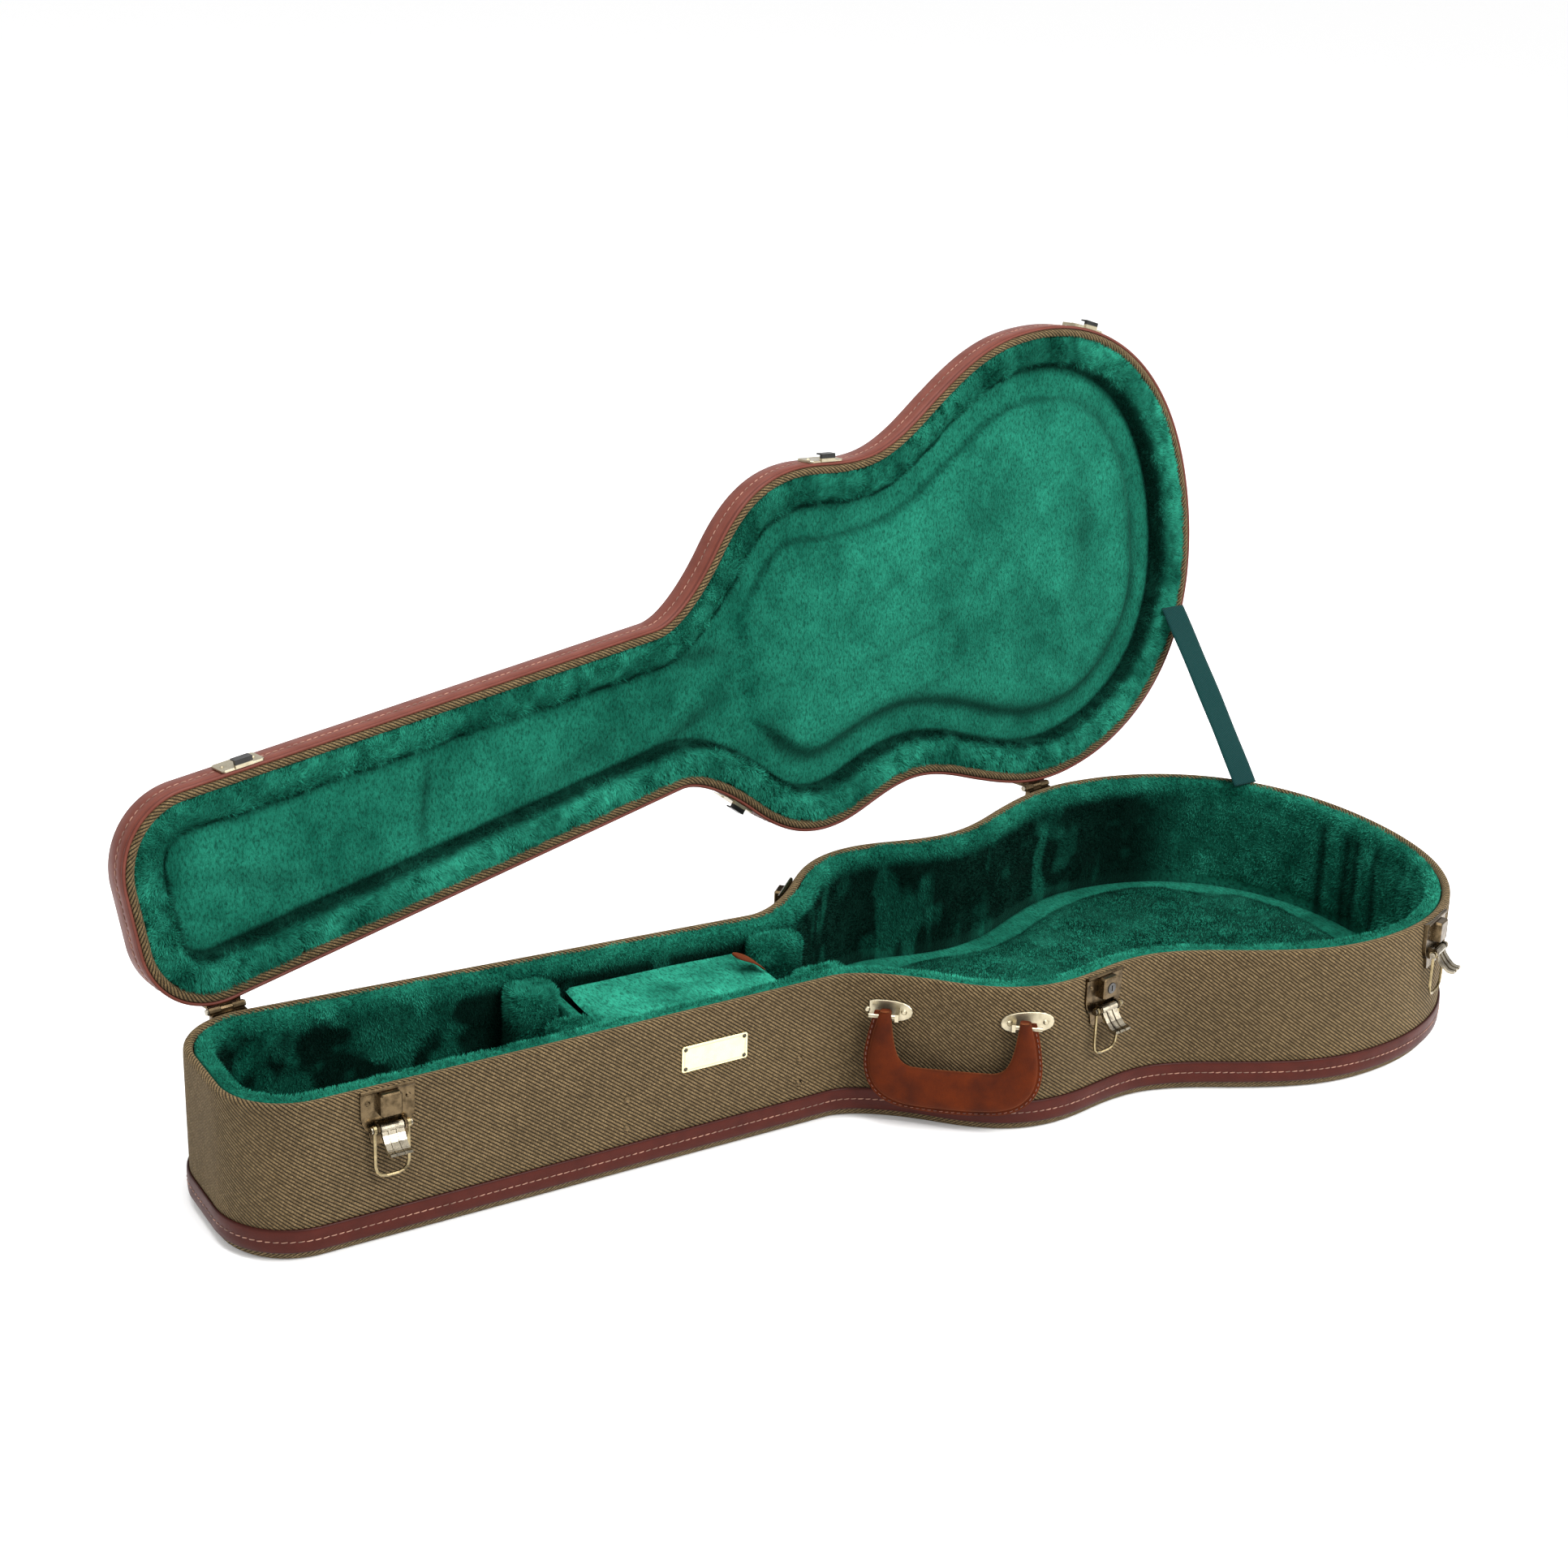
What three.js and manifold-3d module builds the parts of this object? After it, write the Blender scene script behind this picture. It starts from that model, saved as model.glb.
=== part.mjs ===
import * as THREE from "three";
import Module from "manifold-3d";

// Hard-shell guitar case standing open.  Millimetres, +X from head end to tail end,
// +Y toward the hinge side, +Z up; the origin is the middle of the case length on the
// centreline of the flat bottom.

// ---- plan outline (half widths measured from the centreline, x from the head end)
const CASE_LENGTH = 1070;
const MID_X = CASE_LENGTH / 2;
const HEAD_HALF = 81;
const HEAD_CORNER = 58;
const NECK_END_X = 469;
const NECK_HALF = 67;
const FLANK_X = 537;
const FLANK_HALF = 111;
const FLANK_ANGLE = THREE.MathUtils.degToRad(48);
const UPPER_X = 622;
const UPPER_HALF = 155;
const WAIST_X = 702;
const WAIST_HALF = 144;
const HIP_X = 784;
const HIP_HALF = 173;
const HIP_ANGLE = THREE.MathUtils.degToRad(26);
const LOWER_X = 884;
const LOWER_HALF = 202;

// ---- heights and wall section
const BASE_HEIGHT = 120;
const PANEL_HEIGHT = 9.7;
const PANEL_INSET = 8;
const WALL_THICK = 7;
const GAP = 0.3;
const BAND_OUT = 2.4;
const BAND_LOW = 8;
const BAND_HIGH = 26;
const PAD_INNER = 19.5;
const FLOOR_LOW = 10;
const FLOOR_TOP = 21;
const BODY_PAD_TOP = 38;
const LID_RIM = BASE_HEIGHT + 1;
const LID_PANEL = 146.3;
const LID_TOP = 153;
const LID_PAD_INNER = 32;
const OPEN_ANGLE = THREE.MathUtils.degToRad(94);

// ---- hinge line on the back, tangent to the head corner and the lower bout
const HINGE_SLOPE = Math.atan(0.1476);
const HINGE_HEAD_X = 50;
const HINGE_TAIL_X = 848;
const HINGE_OUT = 6;
const HINGE_Z = 120.5;

// ---- latch hardware
const PIN_Z = 92;
const PIN_OUT = 6.5;
const PIN_R = 1.4;
const BORE_R = 1.8;
const LEVER_REST = THREE.MathUtils.degToRad(-45);
const LEVER_WIDTH = 16.4;
const BAIL_REACH = 36.5;
const BAIL_HALF = 12.5;
const ROLL_Z = 118.6;
const LATCH_BOX_Z = 109.2;
const LATCH_RIVET_Z = 110.5;
const CATCH_Z = 134;
const CATCH_HALF = 7;

// ---- handle
const HANDLE_LEFT_X = 507;
const HANDLE_RIGHT_X = 591;
const HANDLE_Z = 92.5;
const HANDLE_OUT = 12;

// ---- neck compartment
const HEAD_PARTITION_X = 293;
const HEEL_PARTITION_X = 441;
const PARTITION_THICK = 10;
const BOX_LID_LOW = 95;
const BOX_LID_TOP = 101;
const BOX_LID_END_X = 453;
const BOX_LID_HALF = 46;

const group = new THREE.Group();
group.name = "guitar_case";

const FINISH = {
  tweed: { color: 0x7a6848, roughness: 0.9, metalness: 0 },
  band: { color: 0x6b3327, roughness: 0.55, metalness: 0 },
  plush: { color: 0x0f5e45, roughness: 1, metalness: 0 },
  brass: { color: 0xcfc6a8, roughness: 0.3, metalness: 1 },
  bronze: { color: 0x5b4a30, roughness: 0.4, metalness: 1 },
  nickel: { color: 0xd8d4c8, roughness: 0.25, metalness: 1 },
  gunmetal: { color: 0x4a4845, roughness: 0.35, metalness: 1 },
  suede: { color: 0x7a3218, roughness: 0.85, metalness: 0 },
  webbing: { color: 0x1c5c55, roughness: 0.9, metalness: 0 },
};

function add(name, geometry, finish, matrix) {
  const shape = geometry.clone();
  if (matrix) shape.applyMatrix4(matrix);
  const mesh = new THREE.Mesh(shape, new THREE.MeshStandardMaterial(FINISH[finish]));
  mesh.name = name;
  group.add(mesh);
}

// ---- outline ---------------------------------------------------------------

function spur(point, angle, reach) {
  return new THREE.Vector2(point.x + Math.cos(angle) * reach, point.y + Math.sin(angle) * reach);
}

// Half of the plan from the middle of the head end to the middle of the tail.
function halfOutline() {
  const at = (x, w) => new THREE.Vector2(x, w);
  const neckAngle = Math.atan2(NECK_HALF - HEAD_HALF, NECK_END_X - HEAD_CORNER);
  const headMid = at(0, 0);
  const cornerStart = at(0, HEAD_HALF - HEAD_CORNER);
  const cornerEnd = at(HEAD_CORNER, HEAD_HALF);
  const neckEnd = at(NECK_END_X, NECK_HALF);
  const flank = at(FLANK_X, FLANK_HALF);
  const upper = at(UPPER_X, UPPER_HALF);
  const waist = at(WAIST_X, WAIST_HALF);
  const hip = at(HIP_X, HIP_HALF);
  const lower = at(LOWER_X, LOWER_HALF);
  const tail = at(CASE_LENGTH, 0);
  const bend = (a, aAngle, aReach, b, bAngle, bReach) =>
    new THREE.CubicBezierCurve(a, spur(a, aAngle, aReach), spur(b, bAngle, -bReach), b);
  const right = Math.PI / 2;
  const spans = [
    [new THREE.LineCurve(headMid, cornerStart), 1],
    [bend(cornerStart, right, 33, cornerEnd, neckAngle, 33), 5],
    [new THREE.LineCurve(cornerEnd, neckEnd), 2],
    [bend(neckEnd, neckAngle, 22, flank, FLANK_ANGLE, 24), 4],
    [bend(flank, FLANK_ANGLE, 36, upper, 0, 36), 4],
    [bend(upper, 0, 28, waist, 0, 32), 3],
    [bend(waist, 0, 32, hip, HIP_ANGLE, 22), 4],
    [bend(hip, HIP_ANGLE, 30, lower, 0, 42), 4],
    [bend(lower, 0, 98, tail, -right, 138), 11],
  ];
  const points = [];
  for (const [curve, steps] of spans) {
    points.push(...curve.getPoints(steps).slice(0, -1));
  }
  points.push(tail);
  return points.map((p) => new THREE.Vector2(p.x - MID_X, p.y));
}

const HALF = halfOutline();
const HALF_COUNT = HALF.length - 1;

// Whole plan: head middle, front side (-Y), tail middle, back side (+Y).
function wholeOutline() {
  const front = HALF.map((p) => new THREE.Vector2(p.x, -p.y));
  const back = HALF.slice(1, -1).reverse();
  return front.concat(back.map((p) => p.clone()));
}

const PLAN = wholeOutline();
const NORMALS = PLAN.map((p, i) => {
  const before = PLAN[(i + PLAN.length - 1) % PLAN.length];
  const after = PLAN[(i + 1) % PLAN.length];
  const along = after.clone().sub(before).normalize();
  return new THREE.Vector2(along.y, -along.x);
});

// The plan moved inward by a distance, as a ring of 3-D points at height z.
function planRing(inward, z) {
  return PLAN.map((p, i) => {
    const n = NORMALS[i];
    return new THREE.Vector3(p.x - n.x * inward, p.y - n.y * inward, z);
  });
}

// Point, outward normal and frame of the outer wall at length x; side -1 front, +1 back.
function wallAt(x, side) {
  const local = x - MID_X;
  let k = 1;
  while (k < HALF_COUNT && HALF[k].x < local) k += 1;
  const a = HALF[k - 1];
  const b = HALF[k];
  const share = (local - a.x) / (b.x - a.x);
  const point = a.clone().lerp(b, share);
  const along = b.clone().sub(a).normalize();
  return {
    point: new THREE.Vector2(point.x, point.y * side),
    normal: new THREE.Vector2(-along.y, along.x * side),
  };
}

// Local frame with X along the wall, Y up, Z outward; origin on the wall at z = 0.
function frameFrom(point, normal) {
  const matrix = new THREE.Matrix4();
  matrix.makeBasis(
    new THREE.Vector3(-normal.y, normal.x, 0),
    new THREE.Vector3(0, 0, 1),
    new THREE.Vector3(normal.x, normal.y, 0),
  );
  matrix.setPosition(point.x, point.y, 0);
  return matrix;
}

function wallFrame(x, side) {
  const wall = wallAt(x, side);
  return frameFrom(wall.point, wall.normal);
}

// ---- solids ----------------------------------------------------------------

function volumeOf(points, faces) {
  let six = 0;
  for (let i = 0; i < faces.length; i += 3) {
    const a = points[faces[i]];
    const b = points[faces[i + 1]];
    const c = points[faces[i + 2]];
    six += a.dot(b.clone().cross(c));
  }
  return six / 6;
}

function geometryFrom(points, faces) {
  const flipped = volumeOf(points, faces) < 0;
  const index = [];
  for (let i = 0; i < faces.length; i += 3) {
    index.push(faces[i], faces[i + (flipped ? 2 : 1)], faces[i + (flipped ? 1 : 2)]);
  }
  const geometry = new THREE.BufferGeometry();
  const flat = points.flatMap((p) => [p.x, p.y, p.z]);
  geometry.setAttribute("position", new THREE.Float32BufferAttribute(flat, 3));
  geometry.setIndex(index);
  geometry.computeVertexNormals();
  return geometry;
}

// Joins rings of equal count.  A loop closes on its first ring; otherwise both ends get
// caps that run straight across from the front half to the back half.
function ringSolid(rings, loop) {
  const count = rings[0].length;
  const half = count / 2;
  const points = rings.flat();
  const faces = [];
  const last = loop ? rings.length : rings.length - 1;
  for (let r = 0; r < last; r += 1) {
    const low = r * count;
    const high = ((r + 1) % rings.length) * count;
    for (let i = 0; i < count; i += 1) {
      const j = (i + 1) % count;
      faces.push(low + i, low + j, high + j, low + i, high + j, high + i);
    }
  }
  if (!loop) {
    const cap = (start, flip) => {
      for (let i = 0; i < half; i += 1) {
        const f0 = start + i;
        const f1 = start + i + 1;
        const b0 = start + ((count - i) % count);
        const b1 = start + ((count - i - 1) % count);
        const quad = [];
        if (f1 !== b1) quad.push([f0, b1, f1]);
        if (f0 !== b0) quad.push([f0, b0, b1]);
        for (const t of quad) faces.push(...(flip ? [t[0], t[2], t[1]] : t));
      }
    };
    cap(0, false);
    cap((rings.length - 1) * count, true);
  }
  return geometryFrom(points, faces);
}

function planSolid(section, loop) {
  return ringSolid(section.map(([inward, z]) => planRing(inward, z)), loop);
}

function roundedRect(width, height, radius, steps) {
  const shape = new THREE.Shape();
  const w = width / 2;
  const h = height / 2;
  const corners = [[1, 1], [-1, 1], [-1, -1], [1, -1]];
  const points = [];
  corners.forEach(([sideX, sideY], quarter) => {
    const cx = sideX * (w - radius);
    const cy = sideY * (h - radius);
    for (let s = 0; s <= steps; s += 1) {
      const angle = ((quarter + s / steps) * Math.PI) / 2;
      points.push(new THREE.Vector2(cx + radius * Math.cos(angle), cy + radius * Math.sin(angle)));
    }
  });
  shape.setFromPoints(points);
  return shape;
}

// Slab of a shape from z0 to z1 whose edges are rounded by `round`.
function slab(shape, z0, z1, round, steps = 2) {
  const depth = z1 - z0 - 2 * round;
  const geometry = new THREE.ExtrudeGeometry(shape, {
    depth,
    bevelEnabled: round > 0,
    bevelSize: round,
    bevelThickness: round,
    bevelOffset: -round,
    bevelSegments: steps,
    curveSegments: 3,
    steps: 1,
  });
  geometry.translate(0, 0, z0 + round);
  return geometry;
}

// Rod or washer lying along local X, from x0 to x1.
function rodX(radius, x0, x1, y, z, sides = 10) {
  const rod = new THREE.CylinderGeometry(radius, radius, x1 - x0, sides);
  rod.rotateZ(Math.PI / 2);
  rod.translate((x0 + x1) / 2, y, z);
  return rod;
}

function block(x0, x1, y0, y1, z0, z1) {
  const box = new THREE.BoxGeometry(x1 - x0, y1 - y0, z1 - z0);
  box.translate((x0 + x1) / 2, (y0 + y1) / 2, (z0 + z1) / 2);
  return box;
}

// Low round rivet head facing local Z.
function rivet(radius, height, x, y, z) {
  const head = new THREE.CylinderGeometry(radius * 0.55, radius, height, 8);
  head.rotateX(Math.PI / 2);
  head.translate(x, y, z + height / 2);
  return head;
}

// ---- booleans --------------------------------------------------------------

const wasm = await Module();
wasm.setup();

function toManifold(geometry) {
  const positions = geometry.getAttribute("position");
  const keys = new Map();
  const vertices = [];
  const remap = [];
  for (let i = 0; i < positions.count; i += 1) {
    const v = [positions.getX(i), positions.getY(i), positions.getZ(i)];
    const key = v.map((value) => Math.round(value * 1e4)).join("_");
    if (!keys.has(key)) {
      keys.set(key, vertices.length / 3);
      vertices.push(...v);
    }
    remap.push(keys.get(key));
  }
  const source = geometry.getIndex() ? Array.from(geometry.getIndex().array) : remap.map((_, i) => i);
  const triangles = [];
  for (let i = 0; i < source.length; i += 3) {
    const t = [remap[source[i]], remap[source[i + 1]], remap[source[i + 2]]];
    if (t[0] !== t[1] && t[1] !== t[2] && t[0] !== t[2]) triangles.push(...t);
  }
  return new wasm.Manifold(new wasm.Mesh({
    numProp: 3,
    vertProperties: new Float32Array(vertices),
    triVerts: new Uint32Array(triangles),
  }));
}

function fromManifold(solid) {
  const mesh = solid.getMesh();
  const geometry = new THREE.BufferGeometry();
  const positions = [];
  for (let i = 0; i < mesh.vertProperties.length; i += mesh.numProp) {
    positions.push(...mesh.vertProperties.slice(i, i + 3));
  }
  geometry.setAttribute("position", new THREE.Float32BufferAttribute(positions, 3));
  geometry.setIndex(Array.from(mesh.triVerts));
  geometry.computeVertexNormals();
  return geometry;
}

function joined(adds, cuts = []) {
  let solid = toManifold(adds[0]);
  for (const geometry of adds.slice(1)) solid = solid.add(toManifold(geometry));
  for (const geometry of cuts) solid = solid.subtract(toManifold(geometry));
  return fromManifold(solid);
}

// Solid filling the case plan, used to shape the backs of plates that sit on the wall.
function planCutter(outward) {
  return planSolid([[-outward, -20], [-outward, 200]], false);
}

const BASE_CUTTER = planCutter(GAP);
const LID_CUTTER = planCutter(BAND_OUT + GAP);

function onWall(adds, cuts, frame, cutter) {
  const inverse = frame.clone().invert();
  const local = cutter.clone().applyMatrix4(inverse);
  return joined(adds, [local, ...cuts]);
}

// ---- lid motion ------------------------------------------------------------

const hingeTouch = wallAt(HINGE_TAIL_X, 1).point;
const HINGE_DIR = new THREE.Vector3(Math.cos(HINGE_SLOPE), Math.sin(HINGE_SLOPE), 0);
const HINGE_NORMAL = new THREE.Vector2(-Math.sin(HINGE_SLOPE), Math.cos(HINGE_SLOPE));
const HINGE_POINT = new THREE.Vector3(
  hingeTouch.x + HINGE_NORMAL.x * HINGE_OUT,
  hingeTouch.y + HINGE_NORMAL.y * HINGE_OUT,
  HINGE_Z,
);

const LID_OPEN = new THREE.Matrix4()
  .makeTranslation(HINGE_POINT.x, HINGE_POINT.y, HINGE_POINT.z)
  .multiply(new THREE.Matrix4().makeRotationAxis(HINGE_DIR, -OPEN_ANGLE))
  .multiply(new THREE.Matrix4().makeTranslation(-HINGE_POINT.x, -HINGE_POINT.y, -HINGE_POINT.z));

function addLid(name, geometry, finish, matrix = new THREE.Matrix4()) {
  add(name, geometry, finish, LID_OPEN.clone().multiply(matrix));
}

// ---- base shell ------------------------------------------------------------

add("base_side_wall", planSolid([
  [0, PANEL_HEIGHT + GAP], [0, 116], [1.6, 119.3], [4, BASE_HEIGHT],
  [WALL_THICK, 117.5], [WALL_THICK, PANEL_HEIGHT + GAP],
], true), "tweed");

add("base_bottom_panel", planSolid([
  [PANEL_INSET, 0], [4, 1.2], [1.2, 4.4], [0, PANEL_HEIGHT],
], false), "tweed");

add("base_binding", planSolid([
  [-GAP, BAND_LOW], [-BAND_OUT, BAND_LOW + 0.8],
  [-BAND_OUT, BAND_HIGH - 0.8], [-GAP, BAND_HIGH],
], true), "band");

add("base_wall_padding", planSolid([
  [WALL_THICK + GAP, FLOOR_LOW], [WALL_THICK + GAP, 116], [10.5, 119.2],
  [16, 118.4], [PAD_INNER, 112], [PAD_INNER, FLOOR_LOW],
], true), "plush");

add("base_floor_padding", planSolid([
  [PAD_INNER + GAP, FLOOR_LOW], [PAD_INNER + GAP, FLOOR_TOP - 2], [PAD_INNER + 2.5, FLOOR_TOP],
], false), "plush");

// Raised cushion that follows the guitar body, as a ladder of half widths from x0 to x1.
const BODY_PAD_START = 556;
const BODY_PAD_END = 1014;
const BODY_PAD_INSET = 56;

function bodyPadRings(levels) {
  const middle = (BODY_PAD_START + BODY_PAD_END) / 2 - MID_X;
  const rows = [];
  const steps = 22;
  for (let s = 0; s <= steps; s += 1) {
    const turn = (s / steps) * Math.PI;
    const x = middle + MID_X - ((BODY_PAD_END - BODY_PAD_START) / 2) * Math.cos(turn);
    const wall = wallAt(x, 1).point.y - BODY_PAD_INSET;
    const fade = Math.sqrt(Math.sin(turn));
    rows.push([x - MID_X, Math.max(0, wall * Math.min(1, fade * 1.08))]);
  }
  return levels.map(([shrink, z]) => {
    const move = ([x, w], side) => new THREE.Vector3(
      middle + (x - middle) * (1 - shrink / 200),
      side * w * (1 - shrink / 110),
      z,
    );
    const front = rows.map((row) => move(row, -1));
    const back = rows.slice(1, -1).reverse().map((row) => move(row, 1));
    return front.concat(back);
  });
}

add("base_body_pad", ringSolid(bodyPadRings([
  [0, FLOOR_TOP + GAP], [0, BODY_PAD_TOP - 6], [3, BODY_PAD_TOP - 1.5], [8, BODY_PAD_TOP],
]), false), "plush");

// ---- neck compartment ------------------------------------------------------

function cushion(name, x0, x1, y0, y1, z0, z1) {
  const shape = roundedRect(x1 - x0, y1 - y0, 5, 2);
  const geometry = slab(shape, z0, z1, 4, 2);
  geometry.translate((x0 + x1) / 2 - MID_X, (y0 + y1) / 2, 0);
  add(name, geometry, "plush");
}

const CRADLE_TOP = 114;
cushion("head_cradle_back", 249, 287.4, 21, 53, FLOOR_TOP + GAP, CRADLE_TOP);
cushion("head_cradle_front", 249, 287.4, -53, -21, FLOOR_TOP + GAP, CRADLE_TOP);
cushion("heel_cradle_back", 454.5, 500, 24, 46.6, FLOOR_TOP + GAP, CRADLE_TOP);
cushion("heel_cradle_front", 454.5, 500, -46.6, -24, FLOOR_TOP + GAP, CRADLE_TOP);

function partition(name, x, half) {
  const x0 = x - PARTITION_THICK / 2 - MID_X;
  const x1 = x + PARTITION_THICK / 2 - MID_X;
  add(name, block(x0, x1, -half, half, FLOOR_TOP + GAP, BOX_LID_LOW - GAP), "plush");
}

partition("box_head_partition", HEAD_PARTITION_X, 52.8);
partition("box_heel_partition", HEEL_PARTITION_X, 47);

const boxLidStart = HEAD_PARTITION_X + PARTITION_THICK / 2 - 1;
const boxLidShape = roundedRect(BOX_LID_END_X - boxLidStart, 2 * BOX_LID_HALF, 4, 2);
const boxLid = slab(boxLidShape, BOX_LID_LOW, BOX_LID_TOP, 2, 2);
boxLid.translate((boxLidStart + BOX_LID_END_X) / 2 - MID_X, 0, 0);
add("box_lid", boxLid, "plush");

// Leather pull tab standing up at the free edge of the accessory box lid.
const TAB_Y = 8;
const tabShape = roundedRect(20, 26, 6, 3);
const tab = slab(tabShape, 0, 1.8, 0.4, 1);
tab.rotateX(Math.PI / 2);
tab.rotateZ(Math.PI / 2);
tab.rotateY(THREE.MathUtils.degToRad(-62));
tab.translate(BOX_LID_END_X - 16 - MID_X, TAB_Y, BOX_LID_TOP + 8.2);
add("box_lid_tab", tab, "suede");

// ---- small fittings on the front wall -------------------------------------

const PLATE_X = 366;
const PLATE_Z = 83;
const nameFrame = wallFrame(PLATE_X, -1);
const nameShape = roundedRect(56, 21, 1.2, 1);
const namePlate = slab(nameShape, -1, 1.5, 0.3, 1);
const plateCorners = [[-25, 7.8], [25, 7.8], [-25, -7.8], [25, -7.8]];
const nameRivets = plateCorners.map(([x, y]) => rivet(1.5, 1, x, y, 1.3));
const nameSolid = [namePlate, ...nameRivets].map((g) => g.translate(0, PLATE_Z, 0));
add("nameplate", onWall(nameSolid, [], nameFrame, BASE_CUTTER), "brass", nameFrame);

const PARTITION_RIVETS = [
  ["partition_rivet_head_top", HEAD_PARTITION_X, 61.5],
  ["partition_rivet_head_low", HEAD_PARTITION_X, 38.5],
  ["partition_rivet_heel_top", HEEL_PARTITION_X, 59],
  ["partition_rivet_heel_low", HEEL_PARTITION_X, 38.5],
];
for (const [name, x, z] of PARTITION_RIVETS) {
  add(name, rivet(3, 1.4, 0, z, GAP), "bronze", wallFrame(x, -1));
}

// ---- latches ---------------------------------------------------------------

const LOCK_LATCH_X = 660;
const LATCHES = [
  ["head", 106, -1],
  ["waist", LOCK_LATCH_X, -1],
  ["tail", 966, -1],
  ["back", 527, 1],
];

function latchPlate(withLock) {
  const outline = new THREE.Shape();
  outline.moveTo(-20, 119);
  outline.lineTo(-20, 100);
  outline.quadraticCurveTo(-19, 92, -14.5, 88);
  outline.lineTo(-13, 80);
  outline.lineTo(-11, 78);
  outline.lineTo(11, 78);
  outline.lineTo(13, 80);
  outline.lineTo(14.5, 88);
  outline.quadraticCurveTo(19, 92, 20, 100);
  outline.lineTo(20, 119);
  outline.closePath();
  const plate = slab(outline, -1.5, 1.9, 0.3, 1);
  const roll = rodX(1.5, -20, 20, ROLL_Z, 1.8, 8);
  const boxShape = roundedRect(16, 17.5, 1.5, 1);
  const box = slab(boxShape, 1, 9, 1, 1).translate(0, LATCH_BOX_Z, 0);
  const ears = [-1, 1].map((side) => {
    const ear = roundedRect(8.5, 8, 3.6, 2);
    const solid = slab(ear, -0.8, 0.8, 0, 1);
    solid.rotateY(Math.PI / 2);
    return solid.translate(side * 10, PIN_Z, PIN_OUT - 1);
  });
  const rivets = [-15, 15].map((x) => rivet(2.3, 1.2, x, LATCH_RIVET_Z, 1.7));
  const feet = [-1, 1].map((side) => {
    const x = side * 10;
    return block(x - 0.8, x + 0.8, PIN_Z - 5, PIN_Z + 5, 0.5, 3.5);
  });
  const bores = [rodX(BORE_R, -11.5, 11.5, PIN_Z, PIN_OUT)];
  if (withLock) {
    const bore = new THREE.CylinderGeometry(4.6, 4.6, 4, 16);
    bore.rotateX(Math.PI / 2);
    bores.push(bore.translate(0, LATCH_BOX_Z, 8.5));
  }
  return { adds: [plate, roll, box, ...ears, ...feet, ...rivets], cuts: bores };
}

// Lever seen from the side: barrel round the pin, curved arm and thumb lip.
function leverSolid() {
  const arm = new THREE.Shape();
  arm.moveTo(0, -1.2);
  arm.quadraticCurveTo(10, -4.2, 17, -2.4);
  arm.quadraticCurveTo(20.4, -1.2, 22, 2.4);
  arm.lineTo(20.4, 3.2);
  arm.quadraticCurveTo(18.6, 0.4, 16, -0.4);
  arm.quadraticCurveTo(9, -1.6, 0, 1.6);
  arm.closePath();
  const strip = (width, middle) => {
    const blank = { depth: width, bevelEnabled: false, curveSegments: 3 };
    return new THREE.ExtrudeGeometry(arm, blank).translate(0, 0, middle - width / 2);
  };
  const blade = strip(LEVER_WIDTH, 0);
  const ribs = [-3, 3].map((middle) => strip(1.6, middle).translate(0, 0.7, 0));
  const barrel = new THREE.CylinderGeometry(3.2, 3.2, LEVER_WIDTH, 12);
  barrel.rotateX(Math.PI / 2);
  const bore = new THREE.CylinderGeometry(BORE_R, BORE_R, 20, 10);
  bore.rotateX(Math.PI / 2);
  const solid = joined([blade, barrel, ...ribs], [bore]);
  // Profile plane (x outward, y up) turned so that x becomes local Z and depth local X.
  solid.applyMatrix4(new THREE.Matrix4().makeBasis(
    new THREE.Vector3(0, 0, 1),
    new THREE.Vector3(0, 1, 0),
    new THREE.Vector3(-1, 0, 0),
  ));
  solid.rotateX(-LEVER_REST);
  return solid.translate(0, PIN_Z, PIN_OUT);
}

// Wire loop hanging from the pin, with an eye at each end.
function bailSolid() {
  const top = PIN_Z - 2.4;
  const low = PIN_Z - BAIL_REACH;
  const bend = low + 9.5;
  const flat = 3;
  const path = new THREE.CurvePath();
  const at = (x, y) => new THREE.Vector3(x, y, PIN_OUT);
  const turn = (a, corner, b) => new THREE.QuadraticBezierCurve3(a, corner, b);
  path.add(new THREE.LineCurve3(at(-BAIL_HALF, top), at(-BAIL_HALF, bend)));
  path.add(turn(at(-BAIL_HALF, bend), at(-BAIL_HALF, low), at(-flat, low)));
  path.add(new THREE.LineCurve3(at(-flat, low), at(flat, low)));
  path.add(turn(at(flat, low), at(BAIL_HALF, low), at(BAIL_HALF, bend)));
  path.add(new THREE.LineCurve3(at(BAIL_HALF, bend), at(BAIL_HALF, top)));
  const wire = new THREE.Shape();
  wire.absarc(0, 0, 1.2, 0, Math.PI * 2, false);
  const loop = new THREE.ExtrudeGeometry(wire, { steps: 20, extrudePath: path, curveSegments: 3 });
  const eyes = [-BAIL_HALF, BAIL_HALF].map((x) => rodX(3.1, x - 1.1, x + 1.1, PIN_Z, PIN_OUT));
  return joined([loop, ...eyes], [rodX(BORE_R, -15, 15, PIN_Z, PIN_OUT)]);
}

function pinSolid() {
  const half = 14.1;
  return joined([
    rodX(PIN_R, -half, half, PIN_Z, PIN_OUT, 10),
    rodX(2.4, -half - 1, -half, PIN_Z, PIN_OUT, 10),
    rodX(2.4, half, half + 1, PIN_Z, PIN_OUT, 10),
  ]);
}

// Plate and upturned hook on the lid edge that the wire loop pulls on.
function catchParts() {
  const plate = slab(roundedRect(34, 20, 2, 1), 0, 4.2, 0.3, 1).translate(0, CATCH_Z, 0);
  const shelf = block(-CATCH_HALF, CATCH_HALF, 123, 126, 3, 9.6);
  const lip = block(-CATCH_HALF, CATCH_HALF, 123.5, 130.5, 8.4, 9.6);
  const rivets = [-12.5, 12.5].map((x) => rivet(2, 1, x, CATCH_Z, 4));
  return [plate, shelf, lip, ...rivets];
}

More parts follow.
